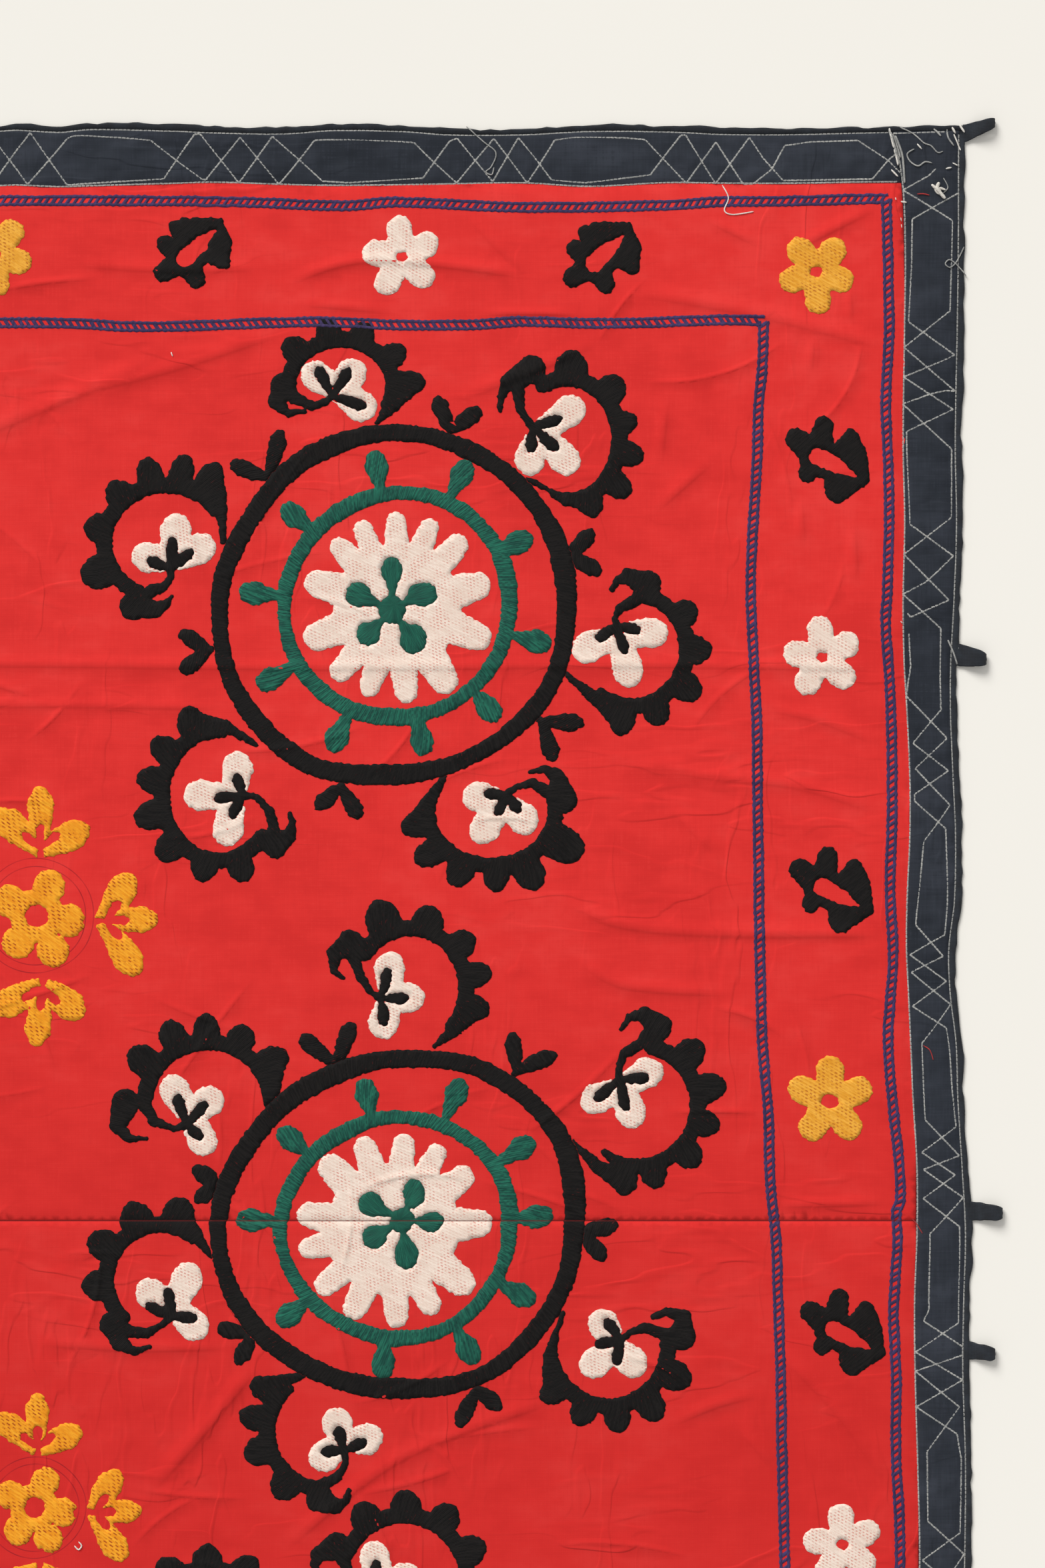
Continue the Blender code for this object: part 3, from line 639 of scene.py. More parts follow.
def side_outer(y):
    return CLOTH_WIDTH / 2 + edge_shift(SIDE_EDGE, y, 1)


def side_inner(y):
    return CLOTH_WIDTH / 2 - SIDE_BORDER + edge_shift(SIDE_EDGE, y, 2)


def mix(first, second, share):
    return first + (second - first) * share


def top_point(along, across, sign=1):
    """Points of the top strip: along it from -1 to 1, and across it from 0, inside, to 1. The
    bottom strip, with sign -1, is given the same way up."""
    y = CLOTH_HEIGHT / 2 - TOP_BORDER * (1 - across)
    for _ in range(3):
        x = along * side_inner(sign * y)
        y = mix(top_inner(x), top_outer(x) - BINDING_WIDTH, across)
    return x, y


def side_point(along, across):
    """Points of the right strip: along it from -1 to 1, and across it from 0, inside, to 1."""
    y = along * CLOTH_HEIGHT / 2
    for _ in range(3):
        x = mix(side_inner(y), side_outer(y) - BINDING_WIDTH, across)
        y = along * (top_outer(x) - BINDING_WIDTH)
    return x, y


def soft_step(value):
    """Eases from 0 to 1 while the value goes from 0 to 1."""
    share = np.clip(value, 0.0, 1.0)
    return share * share * (3 - 2 * share)


class Waves:
    """Smooth random values from -1 to 1, with hills of about one size."""

    ROWS = 97
    COLUMNS = 89

    def __init__(self, seed, size_x, size_y=None):
        self.size_x = size_x
        self.size_y = size_y or size_x
        self.lattice = np.random.default_rng(seed).uniform(-1, 1, (self.ROWS, self.COLUMNS))

    def at(self, x, y):
        across = np.asarray(x) / self.size_x
        up = np.asarray(y) / self.size_y
        column = np.floor(across).astype(int)
        row = np.floor(up).astype(int)
        share_x = soft_step(across - column)
        share_y = soft_step(up - row)
        low = mix(self.cell(row, column), self.cell(row, column + 1), share_x)
        high = mix(self.cell(row + 1, column), self.cell(row + 1, column + 1), share_x)
        return mix(low, high, share_y)

    def cell(self, row, column):
        return self.lattice[row % self.ROWS, column % self.COLUMNS]


# Meshes


def build_mesh(name, points, groups, uv=None, flat=()):
    """A smooth mesh from an array of points and arrays of faces that have equal sides. uv is
    one array of pairs for each group, a pair for each corner. flat numbers the groups whose faces
    meet at hard edges."""
    groups = [np.asarray(group, dtype=np.int32) for group in groups]
    sizes = np.concatenate([np.full(len(group), group.shape[1], dtype=np.int32) for group in groups])
    corners = np.concatenate([group.ravel() for group in groups])
    mesh = bpy.data.meshes.new(name)
    mesh.vertices.add(len(points))
    mesh.vertices.foreach_set("co", np.asarray(points, dtype=np.float32).ravel())
    mesh.loops.add(len(corners))
    mesh.loops.foreach_set("vertex_index", corners)
    mesh.polygons.add(len(sizes))
    mesh.polygons.foreach_set("loop_start", np.cumsum(sizes) - sizes)
    mesh.update(calc_edges=True)
    smooth = [np.full(len(group), number not in flat) for number, group in enumerate(groups)]
    mesh.polygons.foreach_set("use_smooth", np.concatenate(smooth))
    if uv is not None:
        layer = mesh.uv_layers.new(name="thread")
        pairs = np.concatenate([np.asarray(part, dtype=np.float32).reshape(-1, 2) for part in uv])
        layer.data.foreach_set("uv", pairs.ravel())
    return mesh


def add_piece(mesh, finish, nodes=()):
    """Shows a mesh, whose points are in the cloth's own metres, as a piece of the object."""
    mesh.transform(Matrix.Translation((CLOTH_OFFSET, 0, 0)))
    mesh.materials.append(finish)
    thing = bpy.data.objects.new(mesh.name, mesh)
    bpy.context.scene.collection.objects.link(thing)
    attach(thing, "root")
    if nodes:
        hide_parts(*nodes)
    return thing


def grid_faces(rows, columns, wrap=False):
    """The quads of a grid of points, row after row. wrap joins each row's end to its start."""
    last = columns if wrap else columns - 1
    row = np.arange(rows - 1)[:, None] * columns
    column = np.arange(last)[None, :]
    following = (column + 1) % columns
    quads = (row + column, row + following, row + columns + following, row + columns + column)
    return np.stack([quad + 0 * row for quad in quads], axis=-1).reshape(-1, 4)


def grid_rim(rows, columns):
    """The points round a grid, counterclockwise where its rows go up."""
    bottom = np.arange(columns)
    right = np.arange(1, rows) * columns + columns - 1
    top = (rows - 1) * columns + np.arange(columns - 2, -1, -1)
    left = np.arange(rows - 2, 0, -1) * columns
    return np.concatenate([bottom, right, top, left])


def closed_sheet(name, x, y, z, flip):
    """A sheet from a grid of heights, closed by walls and one flat face at the floor."""
    rows, columns = x.shape
    top = np.stack([x.ravel(), y.ravel(), z.ravel()], axis=-1)
    rim = grid_rim(rows, columns)
    lower = top[rim].copy()
    lower[:, 2] = 0.0
    count = len(top)
    below = count + np.arange(len(rim))
    walls = np.stack([rim, below, np.roll(below, -1), np.roll(rim, -1)], axis=-1)
    groups = [grid_faces(rows, columns), walls, below[::-1][None, :]]
    if flip:
        groups = [group[:, ::-1] for group in groups]
    return build_mesh(name, np.concatenate([top, lower]), groups)


# The red field


class Fold:
    """A ridge along a line of points, which fades out at both ends. It rises gently on the left
    of the line and drops more steeply on its right."""

    FADE = 0.035
    GENTLE = 1.15
    STEEP = 0.42
    ROWS = (-1.0, -0.5, 0.0, 0.35, 0.68, 1.0)

    def __init__(self, height, half_width, points):
        self.height = height * MM
        self.gentle = half_width * self.GENTLE * MM
        self.steep = half_width * self.STEEP * MM
        self.step = min(0.0045, half_width * MM * 0.7)
        self.crest = smooth_line([(x * MM, y * MM) for x, y in points], 0.010)

    def near(self, x, y):
        """Which points this fold can reach."""
        low = self.crest.min(axis=0) - self.gentle
        high = self.crest.max(axis=0) + self.gentle
        return (x > low[0]) & (x < high[0]) & (y > low[1]) & (y < high[1])

    def rise(self, x, y):
        """How far this fold lifts the cloth at points."""
        best = np.zeros_like(x)
        steps = np.hypot(*np.diff(self.crest, axis=0).T)
        walked = np.concatenate([[0], np.cumsum(steps)])
        fade_over = min(self.FADE, walked[-1] * 0.4)
        for start, end, run, before in zip(self.crest, self.crest[1:], steps, walked):
            way = (end - start) / run
            along = (x - start[0]) * way[0] + (y - start[1]) * way[1]
            left = (y - start[1]) * way[0] - (x - start[0]) * way[1]
            past = along - np.clip(along, 0, run)
            reach = np.where(left > 0, self.gentle, self.steep)
            away = np.hypot(past / self.gentle, left / reach)
            place = before + np.clip(along, 0, run)
            fade = soft_step(np.minimum(place, walked[-1] - place) / fade_over)
            ridge = 0.5 + 0.5 * np.cos(np.pi * np.clip(away, 0, 1))
            best = np.maximum(best, self.height * fade * ridge)
        return best

    def points(self):
        """Rows of points along the fold, close enough to shape it."""
        line = smooth_line(self.crest, self.step)
        way = directions(line)
        left = np.stack([-way[:, 1], way[:, 0]], axis=-1)
        rows = []
        for share in self.ROWS:
            rows.append(line + left * share * (self.gentle if share > 0 else self.steep))
        return np.concatenate(rows)


def smooth_line(points, step):
    """Even points along a smooth line through the given ones, as an array."""
    points = np.array(points, dtype=float)
    padded = np.concatenate([points[:1], points, points[-1:]])
    dense = []
    for before, start, end, after in zip(padded, padded[1:], padded[2:], padded[3:]):
        count = max(1, round(np.hypot(*(end - start)[:2]) / step))
        share = (np.arange(count) / count)[:, None]
        curve = 2 * start + (end - before) * share
        curve += (2 * before - 5 * start + 4 * end - after) * share**2
        curve += (3 * start - before - 3 * end + after) * share**3
        dense.append(curve / 2)
    dense.append(points[-1:])
    return np.concatenate(dense)


def directions(line):
    """Which way a line runs at each of its points, as steps of length 1."""
    way = np.gradient(line, axis=0)
    return way / np.maximum(np.hypot(*way.T), 1e-9)[:, None]


def scattered_creases():
    """Short fine creases all over the cloth, most of them lying along it."""
    random = np.random.default_rng(77)
    creases = []
    for _ in range(CREASE_COUNT):
        x = random.uniform(-700, 700)
        y = random.uniform(-820, 820)
        level = random.uniform() < 0.68
        heading = math.radians(random.normal(4, 20) if level else random.normal(78, 16))
        bend = random.uniform(-0.35, 0.35)
        step = random.uniform(16, 46)
        points = [(x, y)]
        for _ in range(3):
            heading += bend
            x += step * math.cos(heading)
            y += step * math.sin(heading)
            points.append((x, y))
        if max(abs(place) for place, _ in points) < 715 and max(abs(place) for _, place in points) < 835:
            half_width = random.uniform(3.2, 6.0)
            creases.append(Fold(half_width * random.uniform(0.12, 0.24), half_width, points))
    return creases


class Field:
    """The upper surface of the red cloth, which the embroidery lies on."""

    def __init__(self):
        self.folds = [Fold(height, width, points) for height, width, points in FOLDS]
        self.folds += scattered_creases()
        crests = np.concatenate([fold.points() for fold in self.folds]) / MM
        _, first = np.unique(np.round(crests / 1.2).astype(int), axis=0, return_index=True)
        self.crests = crests[np.sort(first)]

    def relief(self, x, y):
        """The lift of the cloth by its folds and its slack, in metres."""
        folds = np.zeros_like(x)
        for fold in self.folds:
            near = fold.near(x, y)
            if near.any():
                folds[near] = np.maximum(folds[near], fold.rise(x[near], y[near]))
        slack = Waves(3, 0.150, 0.110).at(x, y) + 0.5 * Waves(4, 0.060, 0.045).at(x + 0.3 * y, y)
        drawn = 0.24 * Waves(5, 0.022, 0.060).at(x, y) + 0.18 * Waves(6, 0.055, 0.020).at(x, y + 0.2 * x)
        return folds + (0.55 + 0.34 * slack + drawn) * MM

    def height(self, x, y):
        """Heights of the surface at points, all in metres."""
        x, y = np.asarray(x, dtype=float), np.asarray(y, dtype=float)
        edge = np.minimum(side_inner(y) - np.abs(x), top_inner(x) - np.abs(y))
        tucked = 0.45 + 0.55 * soft_step(edge / 0.006)
        drawn_in = 0.50 + 0.50 * soft_step(np.abs(y) / 0.0045)
        return (PANEL_THICKNESS + self.relief(x, y)) * tucked * drawn_in


def width_outline(sign, inset):
    """The outline of one width of the cloth, in metres, counterclockwise, a distance inside it."""
    across = np.linspace(-1, 1, round(CLOTH_WIDTH / 0.005))
    up = np.linspace(0, 1, round(CLOTH_HEIGHT / 2 / 0.005))[1:-1]
    x = across * CLOTH_WIDTH / 2
    for _ in range(4):
        y = top_inner(x) - inset
        x = across * (side_inner(sign * y) - inset)
    high = np.stack([x, y], axis=-1)[::-1]
    low = np.stack([across * (side_inner(0.0) - inset), np.full_like(across, inset)], axis=-1)
    rise = mix(inset, y[-1], up)
    right = np.stack([side_inner(sign * rise) - inset, rise], axis=-1)
    left = right[::-1] * (-1, 1)
    outline = np.concatenate([low, right, high, left])
    if sign < 0:
        outline = outline[::-1] * (1, -1)
    return outline


def width_points(sign, crests):
    """Points inside one width: its lip, the folds' own points, and a plain grid between them."""
    lip = width_outline(sign, SEAM_LIP)[::2] / MM
    edge_x = (CLOTH_WIDTH / 2 - SIDE_BORDER) / MM
    edge_y = (CLOTH_HEIGHT / 2 - TOP_BORDER) / MM
    step = PANEL_STEP / MM
    columns = np.arange(-edge_x - 15, edge_x + 15, step)
    rows = np.arange(5, edge_y + 10, step)
    x, y = np.meshgrid(columns, rows * sign)
    x = x + (np.arange(len(rows)) % 2)[:, None] * step / 2
    grid = np.stack([x.ravel(), y.ravel()], axis=-1)
    crests = crests[crests[:, 1] * sign > 0]
    taken = np.zeros(CREST_CELLS, dtype=bool)
    middle = (CREST_CELLS[1] // 2, CREST_CELLS[0] // 2)
    cell = np.floor(crests / CREST_CELL).astype(int) + middle
    for shift_x in (-1, 0, 1):
        for shift_y in (-1, 0, 1):
            taken[cell[:, 1] + shift_y, cell[:, 0] + shift_x] = True
    cell = np.floor(grid / CREST_CELL).astype(int) + middle
    grid = grid[~taken[cell[:, 1], cell[:, 0]]]
    inner = np.concatenate([crests, grid])
    reach = side_inner(inner[:, 1] * MM) - np.abs(inner[:, 0] * MM)
    room = top_inner(inner[:, 0] * MM) - np.abs(inner[:, 1] * MM)
    clear = np.minimum(np.minimum(reach, room), np.abs(inner[:, 1]) * MM) > SEAM_LIP + 0.0015
    return np.concatenate([lip, inner[clear]])


def filled(points, edges):
    """Triangles that fill an outline through the points inside it, as points and triangles."""
    flat, _, triangles, *_ = delaunay_2d_cdt(points, edges, [], 1, 1e-4, False)
    return np.array([tuple(point) for point in flat]), np.array(triangles, dtype=int)


def make_width(name, sign, field, finish, node):
    """One width of the red cloth as a closed sheet with its folds."""
    outline = width_outline(sign, 0.0) / MM
    inner = width_points(sign, field.crests)
    points = [tuple(point) for point in np.concatenate([outline, inner])]
    count = len(outline)
    edges = [(step, (step + 1) % count) for step in range(count)]
    flat, triangles = filled(points, edges)
    flat = flat * MM
    z = field.height(flat[:, 0], flat[:, 1])
    top = np.concatenate([flat, z[:, None]], axis=-1)
    following = dict(open_edges(triangles, len(flat)).tolist())
    ring = [next(iter(following))]
    while following[ring[-1]] != ring[0]:
        ring.append(following[ring[-1]])
    ring = np.array(ring)
    lower = top[ring] * (1, 1, 0)
    below = len(top) + np.arange(len(ring))
    walls = np.stack([ring, below, np.roll(below, -1), np.roll(ring, -1)], axis=-1)
    mesh = build_mesh(name, np.concatenate([top, lower]), [triangles, walls, below[::-1][None, :]])
    return add_piece(mesh, finish, (node,))


# Embroidery


class Patch:
    """A shape to embroider, in millimetres, as distances to its edge over a grid of points. The
    distances are negative inside."""

    FAR = 30.0

    def __init__(self, low_x, low_y, high_x, high_y):
        self.x = np.arange(low_x, high_x, CELL)
        self.y = np.arange(low_y, high_y, CELL)
        self.far = np.full((len(self.y), len(self.x)), self.FAR)

    def window(self, x, y, reach):
        """The part of the grid near a shape, as slices and the points' places."""
        left, right = np.searchsorted(self.x, (np.min(x) - reach, np.max(x) + reach))
        low, high = np.searchsorted(self.y, (np.min(y) - reach, np.max(y) + reach))
        part = (slice(low, high), slice(left, right))
        return part, self.x[None, left:right], self.y[low:high, None]

    def stroke(self, rows, cut=False):
        """A smooth stroke. Each row is x, y and its half width there."""
        for (ax, ay, a_half), (bx, by, b_half) in zip(rows, rows[1:]):
            part, x, y = self.window((ax, bx), (ay, by), max(a_half, b_half) + 5)
            run = max((bx - ax) ** 2 + (by - ay) ** 2, 1e-6)
            share = np.clip(((x - ax) * (bx - ax) + (y - ay) * (by - ay)) / run, 0, 1)
            away = np.hypot(x - mix(ax, bx, share), y - mix(ay, by, share))
            self.put(part, away - mix(a_half, b_half, share), cut)

    def oval(self, middle_x, middle_y, half_x, half_y, cut=False):
        part, x, y = self.window(middle_x, middle_y, max(half_x, half_y) + 5)
        across = (x - middle_x) / half_x
        up = (y - middle_y) / half_y
        reach = np.hypot(across, up)
        slope = np.maximum(np.hypot(across / half_x, up / half_y), 1e-6)
        self.put(part, reach * (reach - 1) / slope, cut)

    def ring(self, middle_x, middle_y, outer_x, outer_y, width, drift):
        """An oval ring. It wanders out from its oval by the drift, which has a value for every 30
        degrees from the right."""
        mid_x = outer_x - width / 2
        mid_y = outer_y - width / 2
        part, x, y = self.window(middle_x, middle_y, max(outer_x, outer_y) + 5)
        reach = np.hypot((x - middle_x) / mid_x, (y - middle_y) / mid_y)
        local = np.hypot(x - middle_x, y - middle_y) / np.maximum(reach, 1e-6)
        angle = np.arctan2(y - middle_y, x - middle_x)
        uneven = 1 + 0.09 * np.sin(3 * angle + 1) + 0.05 * np.sin(7 * angle)
        turn = (angle / math.radians(30)) % 12
        before = turn.astype(int) % 12
        drift = np.array(drift)
        wander = mix(drift[before], drift[(before + 1) % 12], soft_step(turn - np.floor(turn)))
        self.put(part, np.abs((reach - 1) * local - wander) - width / 2 * uneven)

    def put(self, part, distance, cut=False):
        if cut:
            self.far[part] = np.maximum(self.far[part], -distance)
        else:
            self.far[part] = np.minimum(self.far[part], distance)

    def clear_of(self, other, gap=0.15):
        """Cuts away another patch on the same grid."""
        self.far = np.maximum(self.far, gap - other.far)

    def fray(self, seed, depth=0.9):
        """Makes the edge uneven, as the ends of the stitches leave it."""
        fine = Waves(seed, 2.2).at(self.x[None, :], self.y[:, None])
        broad = Waves(seed + 1, 8.0).at(self.x[None, :], self.y[:, None])
        self.far = self.far + depth * fine + 0.45 * depth * broad

    def depth(self, x, y):
        """How deep inside points are, in millimetres."""
        across = np.clip((x - self.x[0]) / CELL, 0, len(self.x) - 1.001)
        up = np.clip((y - self.y[0]) / CELL, 0, len(self.y) - 1.001)
        column, row = across.astype(int), up.astype(int)
        low = mix(self.far[row, column], self.far[row, column + 1], across - column)
        high = mix(self.far[row + 1, column], self.far[row + 1, column + 1], across - column)
        return -mix(low, high, up - row)


# Which edge of a cell the outline goes in by and out by, for each set of corners inside it.
# Corners count 1, 2, 4, 8 round from the lower left; edges are bottom, right, top, left.
OUTLINE_CASES = {
    1: ((0, 3),), 2: ((1, 0),), 3: ((1, 3),), 4: ((2, 1),), 5: ((0, 3), (2, 1)), 6: ((2, 0),),
    7: ((2, 3),), 8: ((3, 2),), 9: ((0, 2),), 10: ((1, 0), (3, 2)), 11: ((1, 2),), 12: ((3, 1),),
    13: ((0, 1),), 14: ((3, 0),),
}


def outline_rings(patch):
    """The patch's outlines as arrays of points, the shape on the left of each."""
    far = patch.far
    inside = far < 0
    rows, columns = far.shape
    grid = rows * columns
    case = inside[:-1, :-1] + 2 * inside[:-1, 1:] + 4 * inside[1:, 1:] + 8 * inside[1:, :-1]
    following = {}
    for number, pairs in OUTLINE_CASES.items():
        row, column = np.nonzero(case == number)
        corner = row * columns + column
        edges = (corner, grid + corner + 1, corner + columns, grid + corner)
        for start, end in pairs:
            following.update(zip(edges[start].tolist(), edges[end].tolist()))
    places = crossing_places(patch, following, grid)
    rings = []
    while following:
        first, step = following.popitem()
        ring = [places[first]]
        while step != first:
            ring.append(places[step])
            step = following.pop(step)
        rings.append(np.array(ring))
    return rings


def crossing_places(patch, following, grid):
    """Where the outline crosses each edge of the grid that it runs through."""
    keys = np.array(sorted(following), dtype=int)
    upright = keys >= grid
    row, column = np.divmod(np.where(upright, keys - grid, keys), len(patch.x))
    here = patch.far[row, column]
    next_row = np.minimum(row + upright, len(patch.y) - 1)
    next_column = np.minimum(column + ~upright, len(patch.x) - 1)
    share = here / (here - patch.far[next_row, next_column])
    x = patch.x[column] + np.where(upright, 0, share * CELL)
    y = patch.y[row] + np.where(upright, share * CELL, 0)
    return dict(zip(keys.tolist(), zip(x.tolist(), y.tolist())))


def thinned(ring):
    """The ring without points that stand closer than a step."""
    kept = [ring[0]]
    for point in ring[1:]:
        if math.hypot(point[0] - kept[-1][0], point[1] - kept[-1][1]) >= RING_STEP * 0.75:
            kept.append(point)
    if len(kept) > 3 and math.hypot(*(kept[-1] - kept[0])) < RING_STEP * 0.5:
        kept.pop()
    return kept


def fill_points(patch, crests):
    """Points well inside the shape, in staggered rows, with those of the folds under it and rows
    along the seam between the widths where it crosses that."""
    rows = np.arange(patch.y[0], patch.y[-1], FILL_STEP * 0.87)
    columns = np.arange(patch.x[0], patch.x[-1], FILL_STEP)
    x, y = np.meshgrid(columns, rows)
    x = x + (np.arange(len(rows)) % 2)[:, None] * FILL_STEP / 2
    places = [np.stack([x.ravel(), y.ravel()], axis=-1)]
    here = (crests > (patch.x[0], patch.y[0])) & (crests < (patch.x[-1], patch.y[-1]))
    places.append(crests[here.all(axis=1)])
    places = np.concatenate(places)
    places = places[np.abs(places[:, 1]) > SEAM_GROOVE * 1.8]
    if patch.y[0] < 0 < patch.y[-1]:
        seam = np.meshgrid(np.arange(patch.x[0], patch.x[-1], SEAM_STEP), (-SEAM_GROOVE, 0, SEAM_GROOVE))
        places = np.concatenate([places, np.stack([part.ravel() for part in seam], axis=-1)])
    return places[patch.depth(places[:, 0], places[:, 1]) > FILL_CLEARANCE]


def triangulate(patch, crests):
    """Points and triangles that fill the patch's shape."""
    points = []
    edges = []
    for ring in outline_rings(patch):
        kept = thinned(ring)
        if len(kept) < 6:
            continue
        first = len(points)
        points += [tuple(point) for point in kept]
        edges += [(first + step, first + (step + 1) % len(kept)) for step in range(len(kept))]
    points += [tuple(point) for point in fill_points(patch, crests)]
    flat, triangles = filled(points, edges)
    centre = flat[triangles].mean(axis=1)
    inside = patch.depth(centre[:, 0], centre[:, 1]) > -0.03
    return flat, triangles[inside]


def open_edges(triangles, count):
    """The directed edges that only one triangle has."""
    directed = np.concatenate([triangles[:, (0, 1)], triangles[:, (1, 2)], triangles[:, (2, 0)]])
    forward = directed[:, 0] * count + directed[:, 1]
    backward = directed[:, 1] * count + directed[:, 0]
    return directed[~np.isin(forward, backward)]


def embroider(name, patch, field, thread_uv, finish):
    """Stitches a patch onto the cloth: a raised top with a rounded edge that goes down into it."""
    flat, triangles = triangulate(patch, field.crests)
    x, y = flat[:, 0], flat[:, 1]
    depth = np.clip(patch.depth(x, y), 0, None)
    uneven = 0.07 * Waves(11, 4.5).at(x, y) + 0.04 * Waves(12, 2.4).at(x, y)
    rise = mix(EDGE_RISE, FULL_RISE + uneven, soft_step(depth / RISE_DEPTH))
    beside_seam = np.clip(y / SEAM_GROOVE, -1, 1)
    rise = rise * mix(0.10, 1.0, np.abs(beside_seam))
    x = x + SEAM_SHIFT / 2 * beside_seam
    ground = field.height(x * MM, y * MM)
    top = np.stack([x * MM, y * MM, ground + rise * MM], axis=-1)
    rim = open_edges(triangles, len(flat))
    used, place = np.unique(rim, return_inverse=True)
    lower = top[used].copy()
    lower[:, 2] = ground[used] - SKIRT_DROP * MM
    place = place.reshape(rim.shape) + len(top)
    walls = np.stack([rim[:, 1], rim[:, 0], place[:, 0], place[:, 1]], axis=-1)
    where = np.concatenate([flat, flat[used]])
    uv = [thread_uv(where[group]) for group in (triangles, walls)]
    mesh = build_mesh(name, np.concatenate([top, lower]), [triangles, walls], uv, flat=(1,))
    return add_piece(mesh, finish)


def straight_thread(angle):
    """Thread places for stitches that all run one way."""
    turn = math.radians(angle)

    def place(corners):
        x, y = corners[..., 0], corners[..., 1]
        along = x * math.cos(turn) + y * math.sin(turn)
        across = y * math.cos(turn) - x * math.sin(turn)
        return np.stack([along, across], axis=-1) * MM

    return place


def round_thread(middles, radius, slant=0.25):
    """Thread places for stitches that run out from the nearest of some middles."""
    middles = np.array(middles, dtype=float)

    def place(corners):
        centre = corners.mean(axis=1)
        away = np.hypot(centre[:, None, 0] - middles[:, 0], centre[:, None, 1] - middles[:, 1])
        nearest = middles[np.argmin(away, axis=1)][:, None, :]
        x = corners[..., 0] - nearest[..., 0]
        y = corners[..., 1] - nearest[..., 1]
        angle = np.arctan2(y, x)
        wraps = (np.max(angle, axis=1) - np.min(angle, axis=1)) > math.pi
        angle = np.where(wraps[:, None] & (angle < 0), angle + 2 * math.pi, angle)
        reach = np.hypot(x, y)
        return np.stack([reach, angle * radius + slant * reach], axis=-1) * MM

    return place


# Motifs


def toward(start, end, distance):
    """The point a distance on from start towards end."""
    run = max(math.dist(start, end), 1e-6)
    return (mix(start[0], end[0], distance / run), mix(start[1], end[1], distance / run))


def turned(origin, angle, distance):
    """The point a distance from an origin at an angle in degrees."""
    turn = math.radians(angle)
    return (origin[0] + distance * math.cos(turn), origin[1] + distance * math.sin(turn))


def bearing(start, end):
    return math.degrees(math.atan2(end[1] - start[1], end[0] - start[0]))


def add_leaf(patch, base, middle, half_width, cut=False):
    """A leaf that starts thin at its base and is blunt at its far end."""
    length = math.dist(base, middle)
    near = toward(base, middle, length * 0.55)
    far = toward(base, middle, length + half_width * 0.6)
    rows = ((*base, half_width * 0.42), (*near, half_width * 0.88), (*middle, half_width),
            (*far, half_width * 0.74))
    patch.stroke(rows, cut)


def add_scroll(black, white, scroll):
    """A lobed band that curls counterclockwise round a circle, from its root to its head, and
    turns in as a stem with three leaves on three white petals."""
    middle_x, middle_y, radius_x, radius_y = scroll["circle"]
    middle = (middle_x, middle_y)
    root, lobes, head = scroll["root"], scroll["lobes"], scroll["head"]
    start = bearing(middle, root[1])
    sweep = (bearing(middle, head) - start) % 360
    band = []
    for share in np.linspace(0, 1, 28):
        angle = math.radians(start + share * sweep)
        half = mix(BAND_ROOT, BAND_HALF, min(1, share * sweep / BAND_TAPER))
        band.append((middle_x + (radius_x + half) * math.cos(angle),
                     middle_y + (radius_y + half) * math.sin(angle), half))
    black.stroke(band)
    black.stroke(((*root[0], 2.0), (*root[1], 5.5), (*lobes[0], 10.0)))
    gaps = [math.dist(lobe, following) for lobe, following in zip(lobes, lobes[1:])]
    for lobe, before, after in zip(lobes, [gaps[0], *gaps], [*gaps, gaps[-1]]):
        half = LOBE_SHARE * (before + after) / 2
        inner = toward(lobe, middle, 9)
        outer = toward(lobe, middle, -4.0)
        black.stroke(((*inner, half + 0.8), (*lobe, half), (*outer, half * 0.80)))
    beak, stem, node = scroll["beak"], scroll["stem"], scroll["node"]
    black.stroke(((*head, 12.0), (*beak[0], 6.5), (*beak[1], 3.4), (*beak[2], 1.6)))
    black.oval(middle_x, middle_y, radius_x, radius_y, cut=True)
    black.stroke(((*head, 8.0), (*stem[0], 5.2), (*stem[1], 4.0), (*stem[2], 2.6), (*node, 3.4)))
    for leaf in scroll["leaves"]:
        add_leaf(black, node, leaf, 4.9)
    heart = toward(node, np.mean(scroll["petals"], axis=0), 8)
    for petal in scroll["petals"]:
        end = toward(node, petal, math.dist(node, petal) + 2.5)
        white.stroke(((*node, 4.5), (*heart, 9.5), (*petal, 12.8), (*end, 11.6)))


def round_scroll(middle_x, middle_y, radius, root_angle):
    """A scroll laid out evenly round a circle, with its root at an angle."""
    middle = (middle_x, middle_y)
    lobes = [turned(middle, root_angle + 32 + 33 * step, radius + 14) for step in range(6)]
    end = root_angle + 32 + 33 * 6
    node = turned(middle, end + 47, 0.60 * radius)
    inward = bearing(node, middle)
    return {
        "circle": (middle_x, middle_y, radius, radius),
        "root": (turned(middle, root_angle - 8, radius + 8), turned(middle, root_angle + 12, radius + 5)),
        "lobes": lobes,
        "head": turned(middle, end, radius * 1.36),
        "beak": (turned(middle, end + 9, 1.63 * radius), turned(middle, end + 17, 1.66 * radius),
                 turned(middle, end + 25, 1.50 * radius)),
        "stem": (turned(middle, end + 10, 1.13 * radius), turned(middle, end + 26, 0.97 * radius),
                 turned(middle, end + 40, 0.76 * radius)),
        "node": node,
        "leaves": [turned(node, inward + angle, 19) for angle in (-62, 0, 62)],
        "petals": [turned(node, inward + angle, 27) for angle in (-66, 0, 66)],
    }


